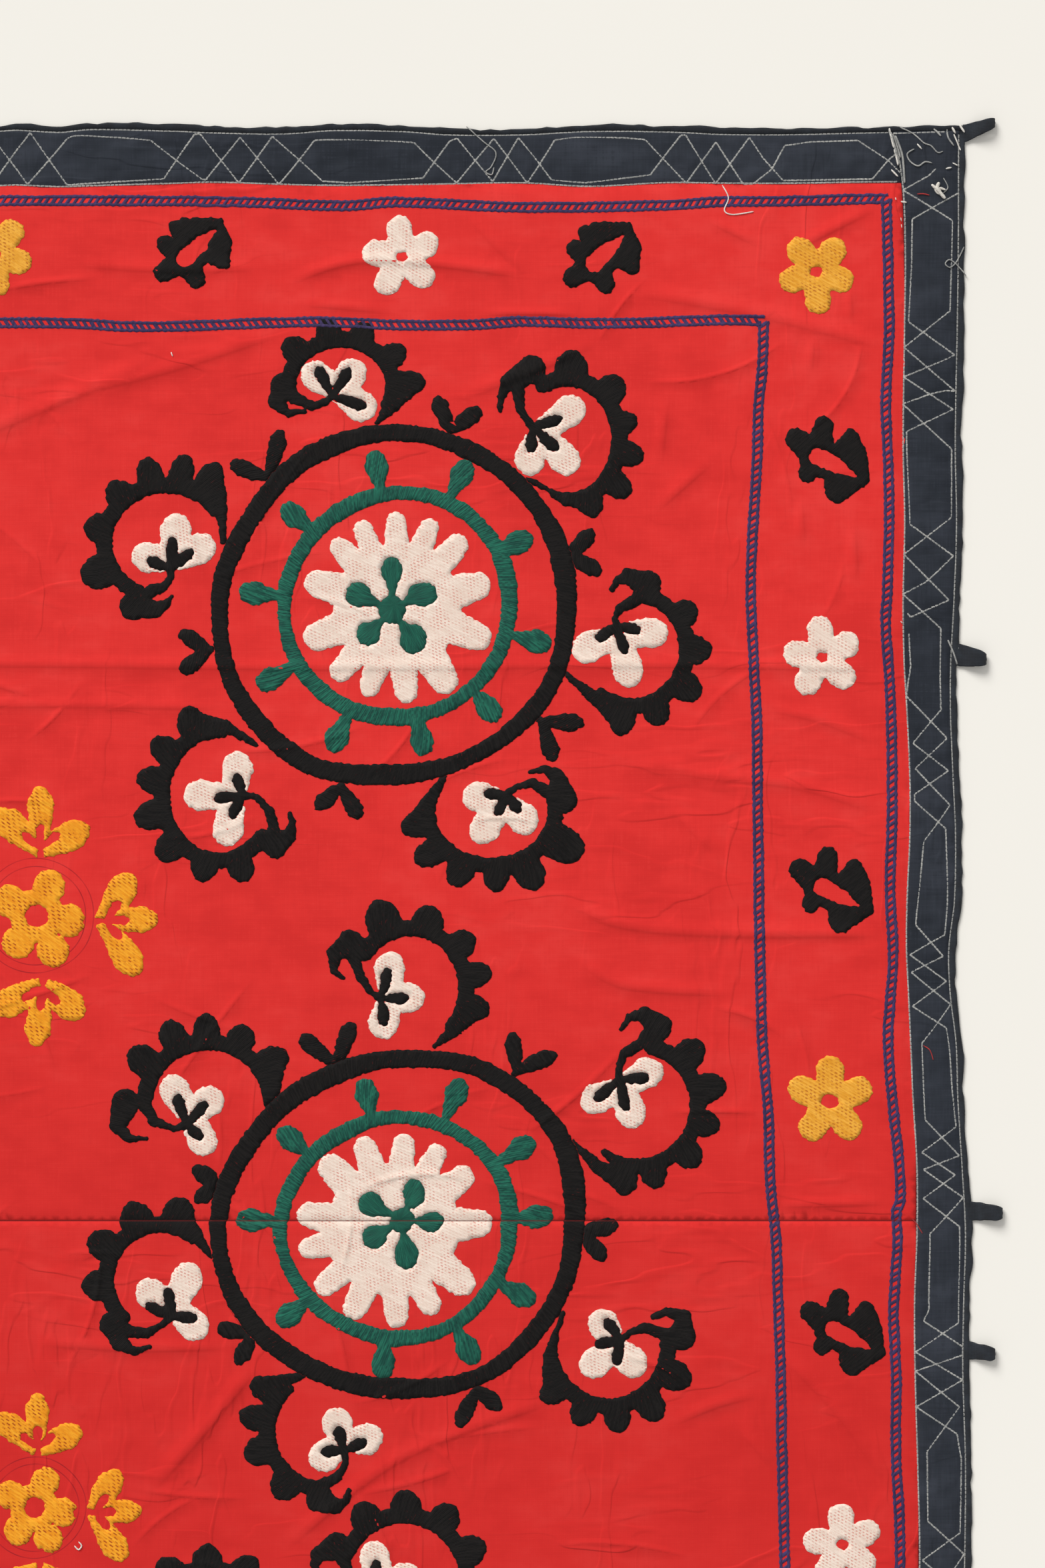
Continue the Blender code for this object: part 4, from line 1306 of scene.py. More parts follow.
def add_rosette(patch, middle_x, middle_y, tip, notch, angles, seed):
    """A round flower. Its petals have round tips, and each fills the room up to its neighbours."""
    random = np.random.default_rng(seed)
    patch.oval(middle_x, middle_y, notch, notch)
    around = [angles[-1] + 360, *angles, angles[0] - 360]
    for before, angle, after in zip(around, around[1:], around[2:]):
        room = math.radians(min(before - after, 64)) / 4
        reach = tip - 9 + random.uniform(-2, 1.5)
        inner = turned((middle_x, middle_y), angle, tip * 0.6)
        outer = turned((middle_x, middle_y), angle, reach)
        patch.stroke(((*inner, tip * 0.66 * room), (*outer, tip * 0.52 * room)))


def add_green(patch, medallion):
    """The green ring with its buds, and the small flower in the middle."""
    ring = medallion["green_ring"]
    patch.ring(*ring)
    for bud in medallion["buds"]:
        root = toward((ring[0], ring[1]), bud, (ring[2] + ring[3]) / 2 - 5)
        near = toward(bud, root, 9)
        tip = toward(bud, root, -5)
        patch.stroke(((*root, 2.6), (*near, 6.6), (*bud, 10.0), (*tip, 8.4)))
    core_x, core_y, core = medallion["core"]
    patch.oval(core_x, core_y, core, core)
    for petal_x, petal_y, half_x, half_y in medallion["flower"]:
        patch.oval(petal_x, petal_y, half_x, half_y)
        neck = toward((core_x, core_y), (petal_x, petal_y), core + 0.5)
        patch.stroke(((petal_x, petal_y, min(half_x, half_y) * 0.88), (*neck, 2.4), (core_x, core_y, 4.0)))


def moved(medallion, shift):
    """The medallion's tables moved sideways."""

    def move(value):
        if isinstance(value, dict):
            return {key: move(part) for key, part in value.items()}
        if isinstance(value[0], (int, float)):
            return (value[0] + shift, *value[1:])
        return tuple(move(part) for part in value)

    return move(medallion)


def make_medallion(name, medallion, field, finishes, seed):
    """A medallion as four pieces: its black ring, its scrolls and twigs, its white and its green."""
    ring_x, ring_y = medallion["ring"][:2]
    scrolls = [*medallion.get("scrolls", ())]
    scrolls += [round_scroll(*row) for row in medallion.get("round_scrolls", ())]
    area = (ring_x - 270, ring_y - 260, ring_x + 290, ring_y + 285)
    ring, black, white, green = (Patch(*area) for _ in range(4))
    ring.ring(*medallion["ring"])
    for scroll in scrolls:
        add_scroll(black, white, scroll)
    for base, first, second in medallion["twigs"]:
        for tip in (first, second):
            add_leaf(black, base, tip, TWIG_LEAF)
        black.stroke(((*base, 3.0), (*toward(base, (ring_x, ring_y), 9), 2.6)))
    add_rosette(white, *medallion["rosette"], seed)
    add_green(green, medallion)
    for number, patch in enumerate((ring, black, white, green)):
        patch.fray(seed + 10 * number)
    black.clear_of(ring)
    white.clear_of(black)
    white.clear_of(ring)
    white.clear_of(green)
    centres = [scroll["circle"][:2] for scroll in scrolls]
    middle = [(ring_x, ring_y)]
    layers = (
        ("ring", ring, round_thread(middle, 145), "black"),
        ("scrolls", black, round_thread(centres, 48), "black"),
        ("white", white, straight_thread(-24), "cream"),
        ("green", green, round_thread(middle, 92), "green"),
    )
    return [
        embroider(f"{part}_{name}", patch, field, thread_uv, finishes[colour])
        for part, patch, thread_uv, colour in layers
    ]


def make_cross(name, middle_x, middle_y, size, field, finishes, seed):
    """A yellow flower with a hole, and four tulips round it."""
    patch = Patch(middle_x - 110, middle_y - 115, middle_x + 115, middle_y + 115)
    patch.oval(middle_x, middle_y, 22 * size, 22 * size)
    for x, y in CROSS_PETALS:
        patch.oval(middle_x + size * x, middle_y + size * y, 13.3 * size, 13.3 * size)
    patch.oval(middle_x, middle_y, 9.3 * size, 9.3 * size, cut=True)
    for base, *petals in CROSS_TULIPS:
        base = (middle_x + size * base[0], middle_y + size * base[1])
        petals = [(middle_x + size * x, middle_y + size * y) for x, y in petals]
        for petal, full in zip(petals, TULIP_HALVES):
            half = full * size
            near = toward(petal, base, 9)
            end = toward(petal, base, -6.5)
            patch.stroke(((*base, half * 0.5), (*near, half * 0.92), (*petal, half), (*end, half * 0.7)))
        direction = bearing(base, petals[1])
        low = turned(base, direction, -12)
        start = turned(base, direction, 2)
        high = turned(base, direction, 12)
        patch.stroke(((*low, 4.0), (*start, 1.8), (*high, 1.6)), cut=True)
        for angle in (-50, 0, 50):
            tip = turned(start, direction + angle, 15 * size)
            add_leaf(patch, start, tip, TULIP_LEAF, cut=True)
    patch.fray(seed)
    return embroider(name, patch, field, straight_thread(-35), finishes["amber"])


def make_round_flower(name, petals, hole, colour, x, y, field, finishes, seed):
    """A flower of five round petals with a hole in its middle."""
    patch = Patch(x - 48, y - 48, x + 48, y + 48)
    patch.oval(x, y, 17, 17)
    for angle, reach, half in petals:
        petal = turned((x, y), angle, reach)
        patch.stroke(((*turned((x, y), angle, reach * 0.45), half * 0.98), (*petal, half)))
    patch.oval(x, y, hole, hole * 0.85, cut=True)
    patch.fray(seed)
    finish = finishes[colour]
    return embroider(name, patch, field, straight_thread(-30), finish)


def make_black_flower(name, shape, x, y, mirror, field, finishes, seed):
    """A lopsided black flower round a drop-shaped hole."""
    mirror_x, mirror_y = mirror

    def placed(rows):
        return [(x + mirror_x * row[0], y + mirror_y * row[1], row[2]) for row in rows]

    patch = Patch(x - 62, y - 62, x + 62, y + 62)
    hole = placed(shape["hole"])
    patch.stroke([(row[0], row[1], row[2] + BODY_HALF * 0.7) for row in hole[:2]])
    way = bearing(hole[0][:2], hole[1][:2])
    span = math.dist(hole[0][:2], hole[1][:2])
    for lobe in placed(shape["lobes"]):
        turn = math.radians(bearing(hole[0][:2], lobe[:2]) - way)
        along = min(max(math.dist(hole[0][:2], lobe[:2]) * math.cos(turn), 0), span)
        patch.stroke(((*toward(hole[0][:2], hole[1][:2], along), BODY_HALF), lobe))
    for part in ("side", "fill"):
        patch.stroke(placed(shape[part]))
    patch.stroke(hole, cut=True)
    patch.fray(seed)
    return embroider(name, patch, field, straight_thread(40), finishes["black"])


def make_flowers(field, finishes):
    """The flowers between the frames. The left and bottom sides mirror the right and top."""
    spots = [(row, TOP_BLACK, (1, 1)) for row in TOP_FLOWERS]
    spots += [((kind, -x, y), TOP_BLACK, (-1, 1)) for kind, x, y in TOP_FLOWERS if x > 0]
    spots += [((kind, x, -y), shape, (side, -1)) for (kind, x, y), shape, (side, _) in list(spots)]
    spots += [(row, SIDE_BLACK, (1, 1)) for row in SIDE_FLOWERS]
    spots += [((kind, -x, y), SIDE_BLACK, (-1, 1)) for kind, x, y in SIDE_FLOWERS]
    flowers = []
    for number, ((kind, x, y), shape, mirror) in enumerate(spots, 1):
        name = f"flower_{number}"
        seed = 300 + 7 * number
        if kind == "black":
            flower = make_black_flower(name, shape, x, y, mirror, field, finishes, seed)
        else:
            flower = make_round_flower(name, *ROUND_KINDS[kind], x, y, field, finishes, seed)
        flowers.append(flower)
    return flowers


# Blue chains


def ribbons(x, y, half, field, rise):
    """Rounded threads laid on the cloth, one for each row of x and y in millimetres, as points
    and quads."""
    way_x, way_y = np.gradient(x, axis=1), np.gradient(y, axis=1)
    run = np.hypot(way_x, way_y)
    columns = []
    for across, up in THREAD_SECTION:
        px = (x - way_y / run * half * across) * MM
        py = (y + way_x / run * half * across) * MM
        columns.append(np.stack([px, py, field.height(px, py) + up * rise * MM], axis=-1))
    points = np.stack(columns, axis=2)
    place = np.arange(points[..., 0].size).reshape(points.shape[:3])
    quads = np.stack([place[:, :-1, :-1], place[:, 1:, :-1], place[:, 1:, 1:], place[:, :-1, 1:]], axis=-1)
    return points.reshape(-1, 3), quads.reshape(-1, 4)


def make_chain(name, line, lean, field, finish, seed):
    """Two rails of chain stitch with slanted stitches between them, along a line in millimetres."""
    line = smooth_line(line, RAIL_STEP)
    walked = np.concatenate([[0], np.cumsum(np.hypot(*np.diff(line, axis=0).T))])
    way = directions(line)
    left = np.stack([-way[:, 1], way[:, 0]], axis=-1)
    beat = np.sin(2 * math.pi * walked / RUNG_PITCH)
    parts = []
    for side in (-1, 1):
        waver = RAIL_WAVER * Waves(seed + side, 11.0).at(walked, 0 * walked)
        offset = (side * RAIL_OFFSET + RAIL_WAVE * beat + waver)[:, None]
        x, y = (line + left * offset).T
        half = RAIL_HALF * (1 + 0.12 * side * beat + 0.2 * waver)
        parts.append(ribbons(x[None], y[None], half[None], field, RAIL_RISE))
    random = np.random.default_rng(seed)
    count = int(walked[-1] / RUNG_PITCH)
    spots = (np.arange(count) + 0.5) * RUNG_PITCH + random.uniform(-0.5, 0.5, count)
    across = np.array((-1.0, 0.0, 1.0))
    along = spots[:, None] + across * lean * RUNG_LEAN / 2
    spread = across * RAIL_OFFSET
    x, y = (
        np.interp(along, walked, line[:, axis]) + spread * np.interp(along, walked, left[:, axis])
        for axis in (0, 1)
    )
    half = RUNG_HALF * random.uniform(0.8, 1.12, (count, 1))
    parts.append(ribbons(x, y, half, field, RUNG_RISE))
    starts = np.cumsum([0, *[len(points) for points, _ in parts[:-1]]])
    points = np.concatenate([points for points, _ in parts])
    quads = np.concatenate([quads + start for (_, quads), start in zip(parts, starts)])
    mesh = build_mesh(name, points, [quads], [straight_thread(60)(points[:, :2][quads] / MM)])
    return add_piece(mesh, finish)


def make_chains(field, finishes):
    """The four chains of each frame. Its left half mirrors its right, and its bottom its top."""
    chains = []
    for frame_name, top, side, lean in BLUE_FRAMES:
        whole_top = [(-x, y) for x, y in reversed(top)] + list(top)
        lines = {
            "top": whole_top,
            "bottom": [(x, -y) for x, y in whole_top],
            "right": side,
            "left": [(-x, y) for x, y in side],
        }
        for number, (place, line) in enumerate(lines.items()):
            name = f"chain_{frame_name}_{place}"
            slant = lean if place in ("top", "bottom") else -1
            chains.append(make_chain(name, line, slant, field, finishes["blue"], 500 + 10 * number))
    return chains


# The quilted border


def top_quilt():
    """The quilting of the top strip from end to end, as lines of (along, across)."""
    lines = []
    for line, other in (TOP_QUILT, TOP_QUILT[::-1]):
        mirrored = [(2 * TOP_QUILT_MIDDLE - along, across) for along, across in other]
        lines.append([*mirrored[::-1], *line])
    return lines


def side_quilt():
    """The quilting of a side strip from top to bottom, as lines of (along, across)."""
    lines = [list(line) for line in SIDE_QUILT]
    for number, corner in SIDE_QUILT_AGAIN:
        line = SIDE_QUILT[number]
        following = [row for row in line if row[0] < corner]
        lines[number] += [(along + SIDE_QUILT_REPEAT, across) for along, across in following]
    return lines


class Strip:
    """One border strip: where its points are, and the lines that quilt it."""

    END_GAP = 0.003

    def __init__(self, name, upright, sign):
        self.name = name
        self.upright = upright
        self.sign = sign
        self.width = SIDE_BORDER if upright else TOP_BORDER
        self.flip = upright == (sign > 0)
        self.lines = []
        for line in side_quilt() if upright else top_quilt():
            places = [(along * MM, across) for along, across in line]
            self.lines += zip(places, places[1:])
        for across in (0.5 - OUTER_STITCH_INSET / self.width, -0.5 + INNER_STITCH_INSET / self.width):
            ends = self.along(*self.grid(np.array([-1.0, 1.0]), np.full(2, across)))
            self.lines.append(((ends[0] + self.END_GAP, across), (ends[1] - self.END_GAP, across)))

    def grid(self, along, across):
        """Points whose rows follow what the strip's ends meet: along it from -1 to 1, and across
        it from -0.5, inside, to 0.5."""
        if self.upright:
            x, y = side_point(along, across + 0.5)
            return self.sign * x, y
        x, y = top_point(along, across + 0.5, self.sign)
        return x, self.sign * y

    def along(self, x, y):
        return y if self.upright else x

    def world(self, along, across):
        """Points of the strip: along it in metres from its middle, and across as before."""
        if self.upright:
            out = mix(side_inner(along), side_outer(along) - BINDING_WIDTH, across + 0.5)
            return self.sign * out, along
        out = mix(top_inner(along), top_outer(along) - BINDING_WIDTH, across + 0.5)
        return along, self.sign * out

    def height(self, along, across):
        """How high the quilted strip stands: pressed down at each line of stitches."""
        away = np.full(np.shape(along), 1.0)
        for (a_along, a_across), (b_along, b_across) in self.lines:
            dx = b_along - a_along
            dy = (b_across - a_across) * self.width
            px = along - a_along
            py = (across - a_across) * self.width
            share = np.clip((px * dx + py * dy) / (dx * dx + dy * dy), 0, 1)
            away = np.minimum(away, np.hypot(px - share * dx, py - share * dy))
        puff = QUILT_RISE * (1 - np.exp(-((away / 0.0034) ** 2)))
        x, y = self.world(along, across)
        crumple = Waves(21, 0.012).at(x, y) + 0.7 * Waves(22, 0.0065).at(x, y)
        edge = (0.5 - np.abs(across)) * self.width
        tucked = 0.35 + 0.65 * soft_step(edge / 0.0022)
        return (BORDER_THICKNESS + puff * (1 + 0.35 * crumple) + 0.26 * MM * crumple) * tucked


def make_strip(strip, finish, node):
    """A border strip as a closed sheet, pressed down along its quilting."""
    columns = round((CLOTH_HEIGHT if strip.upright else CLOTH_WIDTH) / STRIP_STEP)
    along, across = np.meshgrid(
        np.linspace(-1, 1, columns),
        np.concatenate([[-0.5, -0.47], np.linspace(-0.42, 0.42, 13), [0.47, 0.5]]),
    )
    x, y = strip.grid(along, across)
    mesh = closed_sheet(strip.name, x, y, strip.height(strip.along(x, y), across), strip.flip)
    return add_piece(mesh, finish, (node,))


def make_stitches(strip, finish, seed):
    """The machine stitches of a strip as short thick threads that dip at both ends."""
    random = np.random.default_rng(seed)
    starts, ends = [], []
    for (a_along, a_across), (b_along, b_across) in strip.lines:
        run = math.hypot(b_along - a_along, (b_across - a_across) * strip.width)
        count = max(2, round(run / STITCH_PITCH))
        share = (np.arange(count) + 0.5) / count
        half = STITCH_LENGTH / STITCH_PITCH / count / 2
        for spots, place in ((starts, share - half), (ends, share + half)):
            spots.append(np.stack([mix(a_along, b_along, place), mix(a_across, b_across, place)]))
    start = np.stack(strip.world(*np.concatenate(starts, axis=1)))
    end = np.stack(strip.world(*np.concatenate(ends, axis=1)))
    middle_along, middle_across = (np.concatenate(starts, axis=1) + np.concatenate(ends, axis=1)) / 2
    ground = strip.height(middle_along, middle_across)
    swing = random.normal(0, 0.00014, start.shape)
    start, end = start + swing, end - swing
    way = (end - start) / np.hypot(*(end - start))
    aside = np.stack([-way[1], way[0]])
    corners = []
    for share, side, up in STITCH_CORNERS:
        spot = mix(start, end, share) + aside * side * STITCH_WIDTH / 2
        corners.append(np.stack([spot[0], spot[1], ground + STITCH_RISE * up - 0.0001], axis=-1))
    points = np.stack(corners, axis=1).reshape(-1, 3)
    first = (np.arange(len(ground)) * len(STITCH_CORNERS))[:, None]
    triangles = np.array(((0, 1, 2), (0, 2, 3), (7, 5, 4), (7, 6, 5)))
    quads = np.array(((1, 4, 5, 2), (2, 5, 6, 3)))
    groups = [(first[:, :, None] + shape[None]).reshape(-1, shape.shape[1]) for shape in (triangles, quads)]
    mesh = build_mesh(f"stitches_{strip.name}", points, groups)
    return add_piece(mesh, finish)


def make_strips():
    return (
        Strip("strip_right", True, 1),
        Strip("strip_left", True, -1),
        Strip("strip_top", False, 1),
        Strip("strip_bottom", False, -1),
    )


# The edge tape and the loops


def make_tape(name, inner, outer, finish, node):
    """A folded tape between two edge lines, rounded on its outer side."""
    count = len(inner)
    place = inner[:, 0] + inner[:, 1]
    lumps = Waves(31, 0.017).at(place, 0 * place)
    pulls = Waves(32, 0.008).at(place, 0 * place)
    rings = []
    for across, up in TAPE_SECTION:
        wide = across * (1 + 0.19 * lumps + 0.16 * pulls)
        x = mix(inner[:, 0], outer[:, 0], wide)
        y = mix(inner[:, 1], outer[:, 1], wide)
        rings.append(np.stack([x, y, up * BINDING_HEIGHT * (1 + 0.10 * pulls)], axis=-1))
    points = np.stack(rings, axis=1).reshape(-1, 3)
    around = np.arange(len(TAPE_SECTION))
    sides = grid_faces(count, len(TAPE_SECTION), wrap=True)
    ends = np.stack([around, len(points) - 1 - around])
    mesh = build_mesh(name, points, [sides, ends])
    face_outward(mesh)
    return add_piece(mesh, finish, (node,))


def face_outward(mesh):
    """Turns the faces of a closed mesh round if they face inward."""
    volume = 0.0
    for face in mesh.polygons:
        corners = [mesh.vertices[index].co for index in face.vertices]
        for second, third in zip(corners[1:], corners[2:]):
            volume += corners[0].dot(second.cross(third))
    if volume < 0:
        mesh.flip_normals()


def make_bindings(finish):
    tapes = []
    count = round(CLOTH_WIDTH / TAPE_STEP)
    half = side_outer(np.array([CLOTH_HEIGHT / 2, -CLOTH_HEIGHT / 2]))
    for name, sign, reach in (("top", 1, half[0]), ("bottom", -1, half[1])):
        x = np.linspace(-reach, reach, count)
        inner = np.stack([x, sign * (top_outer(x) - BINDING_WIDTH)], axis=-1)
        outer = np.stack([x, sign * top_outer(x)], axis=-1)
        tapes.append(make_tape(f"tape_{name}", inner, outer, finish, f"binding_{name}"))
    count = round(CLOTH_HEIGHT / TAPE_STEP)
    inner_x, y = side_point(np.linspace(-1, 1, count), np.ones(count))
    for name, sign in (("right", 1), ("left", -1)):
        inner = np.stack([sign * inner_x, y], axis=-1)
        outer = np.stack([sign * (inner_x + BINDING_WIDTH), y], axis=-1)
        tapes.append(make_tape(f"tape_{name}", inner, outer, finish, f"binding_{name}"))
    return tapes


def make_loop(number, row, finish):
    """A folded tape loop: out along the surface, round an open eye, and back over itself to the
    cloth's edge."""
    up_cloth, length, root_width, tip_width, tip_shift = [value * MM for value in row]
    half = TAPE_THICKNESS / 2
    over = LOOP_EYE_HEIGHT + TAPE_THICKNESS * 1.5
    folded = ((-0.0020, half), (0.25 * length, half), (0.55 * length, half), (0.80 * length, 0.0010),
              (0.94 * length, 0.0023), (length - half, 0.5 * over), (0.94 * length, 0.78 * over),
              (0.78 * length, over), (0.55 * length, 0.92 * over), (0.33 * length, 0.58 * over),
              (0.17 * length, 0.31 * over), (-0.0020, 0.0018))
    route = smooth_line(folded, LOOP_STEP)
    way = directions(route)
    out_from = np.stack([way[:, 1], -way[:, 0]], axis=-1)
    uneven = Waves(33 + number, 0.005).at(np.arange(len(route)) * LOOP_STEP, 0 * route[:, 0])
    reach = np.clip(route[:, 0] / length, 0, 1)
    rounded = 1 - 0.20 * np.clip((reach - 0.80) / 0.20, 0, 1) ** 2
    width = mix(root_width, tip_width, reach) * rounded * (1 + 0.08 * uneven)
    section = list(zip(LOOP_SHARES, LOOP_THICKNESS))
    rings = []
    for side, shape in ((1, section), (-1, section[::-1])):
        for share, thickness in shape:
            spot = route + out_from * side * half * thickness
            x = side_outer(np.full(len(route), up_cloth)) + spot[:, 0]
            y = up_cloth + tip_shift * reach + share * width
            rings.append(np.stack([x, y, np.maximum(spot[:, 1], 0.00005)], axis=-1))
    points = np.stack(rings, axis=1).reshape(-1, 3)
    around = len(rings)
    sides = grid_faces(len(route), around, wrap=True)
    ends = np.stack([np.arange(around)[::-1], len(points) - around + np.arange(around)])
    mesh = build_mesh(f"tape_loop_{number}", points, [sides, ends])
    face_outward(mesh)
    return add_piece(mesh, finish, (f"loop_{number}",))


# Loose threads


class Ground:
    """The tops of pieces that are in place, felt from above."""

    def __init__(self, things):
        self.trees = []
        for thing in things:
            corners = [vertex.co for vertex in thing.data.vertices]
            faces = [tuple(face.vertices) for face in thing.data.polygons]
            self.trees.append(BVHTree.FromPolygons(corners, faces))

    def height(self, x, y):
        """The highest surface at a point, or the floor."""
        start = (x + CLOTH_OFFSET, y, 0.1)
        hits = [tree.ray_cast(start, (0, 0, -1))[0] for tree in self.trees]
        return max([hit.z for hit in hits if hit is not None], default=0.0)


def thread_rings(half, points, ground):
    """Rings of points round a thread that lies on the ground, as an array, ring by ring."""
    line = smooth_line([(x * MM, y * MM) for x, y in points], THREAD_STEP)
    half = half * MM
    rest = np.array([ground.height(x, y) for x, y in line])
    over = np.maximum(rest, np.maximum(np.roll(rest, 1), np.roll(rest, -1)))
    way = directions(line)
    place = np.arange(len(line))
    lift = half * 0.8 + 0.3 * MM * np.abs(Waves(41, 5.0).at(place, place))
    end = np.minimum(place, place[::-1])
    thick = half * (0.45 + 0.55 * np.clip(end / 1.5, 0, 1))
    turn = np.linspace(0, 2 * math.pi, 7)[:-1]
    aside = thick[:, None] * np.cos(turn)
    x = line[:, 0:1] - way[:, 1:2] * aside
    y = line[:, 1:2] + way[:, 0:1] * aside
    z = (over + lift)[:, None] + thick[:, None] * np.sin(turn)
    return np.stack([x, y, z], axis=-1)


def make_threads(name, threads, ground, finish):
    """All the loose threads of one colour as one piece."""
    points, sides, ends = [], [], []
    first = 0
    for half, line in threads:
        rings = thread_rings(half, line, ground)
        rows, around = rings.shape[:2]
        points.append(rings.reshape(-1, 3))
        sides.append(grid_faces(rows, around, wrap=True) + first)
        ends.append(np.stack([np.arange(around)[::-1], (rows - 1) * around + np.arange(around)]) + first)
        first += rows * around
    mesh = build_mesh(name, np.concatenate(points), [np.concatenate(sides), np.concatenate(ends)])
    face_outward(mesh)
    return add_piece(mesh, finish)


# Materials


class Shader:
    """A material's nodes, with short ways to add and join them."""

    def __init__(self, name):
        self.material = bpy.data.materials.new(name)
        self.material.use_nodes = True
        self.tree = self.material.node_tree
        self.surface = self.tree.nodes["Principled BSDF"]

    def node(self, kind, settings=(), inputs=()):
        node = self.tree.nodes.new(kind)
        for name, value in dict(settings).items():
            setattr(node, name, value)
        for name, value in dict(inputs).items():
            self.feed(node.inputs[name], value)
        return node

    def feed(self, socket, value):
        if isinstance(value, bpy.types.NodeSocket):
            self.tree.links.new(value, socket)
        else:
            socket.default_value = value

    def maths(self, operation, first, second=0.0):
        node = self.node("ShaderNodeMath", {"operation": operation})
        self.feed(node.inputs[0], first)
        self.feed(node.inputs[1], second)
        return node.outputs[0]

    def weighted(self, first, first_weight, second, second_weight):
        """The sum of two values, each times its weight."""
        first_part = self.maths("MULTIPLY", first, first_weight)
        second_part = self.maths("MULTIPLY", second, second_weight)
        return self.maths("ADD", first_part, second_part)

    def vector(self, operation, *inputs):
        settings = {"operation": operation}
        return self.node("ShaderNodeVectorMath", settings, enumerate(inputs)).outputs[0]

    def ramp(self, value, low, high, to_low=0.0, to_high=1.0):
        inputs = {"Value": value, "From Min": low, "From Max": high, "To Min": to_low, "To Max": to_high}
        return self.node("ShaderNodeMapRange", {"interpolation_type": "SMOOTHSTEP"}, inputs).outputs[0]

    def blend(self, share, first, second):
        node = self.node("ShaderNodeMix", {"data_type": "RGBA"})
        self.feed(node.inputs[0], share)
        self.feed(node.inputs[6], first)
        self.feed(node.inputs[7], second)
        return node.outputs[2]

    def noise(self, place, scale, detail=2.0, stretch=(1, 1, 1)):
        mapping = self.node("ShaderNodeMapping", (), {"Vector": place, "Scale": stretch})
        inputs = {"Vector": mapping.outputs[0], "Scale": scale, "Detail": detail}
        return self.node("ShaderNodeTexNoise", (), inputs).outputs["Fac"]

    def object_place(self):
        return self.node("ShaderNodeTexCoord").outputs["Object"]

    def thread_place(self):
        return self.node("ShaderNodeUVMap", {"uv_map": "thread"}).outputs["UV"]

    def bump(self, height, strength, distance, normal=None):
        inputs = {"Height": height, "Strength": strength, "Distance": distance}
        if normal is not None:
            inputs["Normal"] = normal
        return self.node("ShaderNodeBump", (), inputs).outputs["Normal"]

    def wrinkles(self, place, stretch, scale):
        """Fine ridges, in groups: steep on one side and gentle on the other."""
        run = self.noise(place, scale, 2.0, stretch)
        ridge = self.maths("MULTIPLY", self.ramp(run, 0.485, 0.515), self.ramp(run, 0.52, 0.60, 1.0, 0.0))
        return self.maths("MULTIPLY", ridge, self.ramp(self.noise(place, 9.0, 2.0, stretch), 0.48, 0.66))

    def painted_seam_shadow(self, colour):
        """Painted shadow: darkens the colour along the seam between the two widths of the cloth."""
        parts = self.node("ShaderNodeSeparateXYZ", (), {"Vector": self.object_place()})
        away = self.maths("ABSOLUTE", parts.outputs[1])
        # dark red painted in as the seam's shadow, strongest right at the seam
        return self.blend(self.ramp(away, 0.0002, 0.0009, 0.72, 0.0), colour, srgb(92, 26, 26))

    def deepened(self, colour):
        """The red deepens slowly down the cloth."""
        parts = self.node("ShaderNodeSeparateXYZ", (), {"Vector": self.object_place()})
        return self.blend(self.ramp(parts.outputs[1], -0.25, 0.45, 0.42, 0.0), colour, srgb(190, 32, 30))

    def drawn_ring(self, colour, middle_x, middle_y, radius):
        """A thin pencilled circle, which the embroiderer drew on the cloth."""
        place = self.object_place()
        middle = (middle_x * MM + CLOTH_OFFSET, middle_y * MM, 0.0)
        flat = self.vector("MULTIPLY", self.vector("SUBTRACT", place, middle), (1, 1, 0))
        reach = self.node("ShaderNodeVectorMath", {"operation": "LENGTH"}, {0: flat}).outputs["Value"]
        wander = self.maths("MULTIPLY", self.noise(place, 14.0, 1.0), 0.004)
        away = self.maths("SUBTRACT", self.maths("ADD", reach, wander), radius * MM + 0.002)
        line = self.ramp(self.maths("ABSOLUTE", away), 0.0002, 0.0006, 1.0, 0.0)
        line = self.maths("MULTIPLY", line, self.noise(place, 60.0, 2.0))
        return self.blend(line, colour, srgb(120, 22, 34))

    def finish(self, colour, roughness, normal, sheen=0.0, specular=0.3):
        self.feed(self.surface.inputs["Base Color"], colour)
        self.feed(self.surface.inputs["Roughness"], roughness)
        self.feed(self.surface.inputs["Normal"], normal)
        self.surface.inputs["Sheen Weight"].default_value = sheen
        self.surface.inputs["Sheen Roughness"].default_value = 0.5
        self.surface.inputs["Specular IOR Level"].default_value = specular
        return self.material


def weave(shader, place, pitch):
    """Plain weave: threads over and under each other both ways."""
    inputs = {"Vector": place, "Scale": math.pi / pitch}
    scaled = shader.node("ShaderNodeVectorMath", {"operation": "SCALE"}, inputs)
    parts = shader.node("ShaderNodeSeparateXYZ", (), {"Vector": scaled.outputs[0]})
    across = shader.maths("SINE", parts.outputs[0])
    up = shader.maths("SINE", parts.outputs[1])
    return shader.maths("ABSOLUTE", shader.maths("MULTIPLY", across, up))


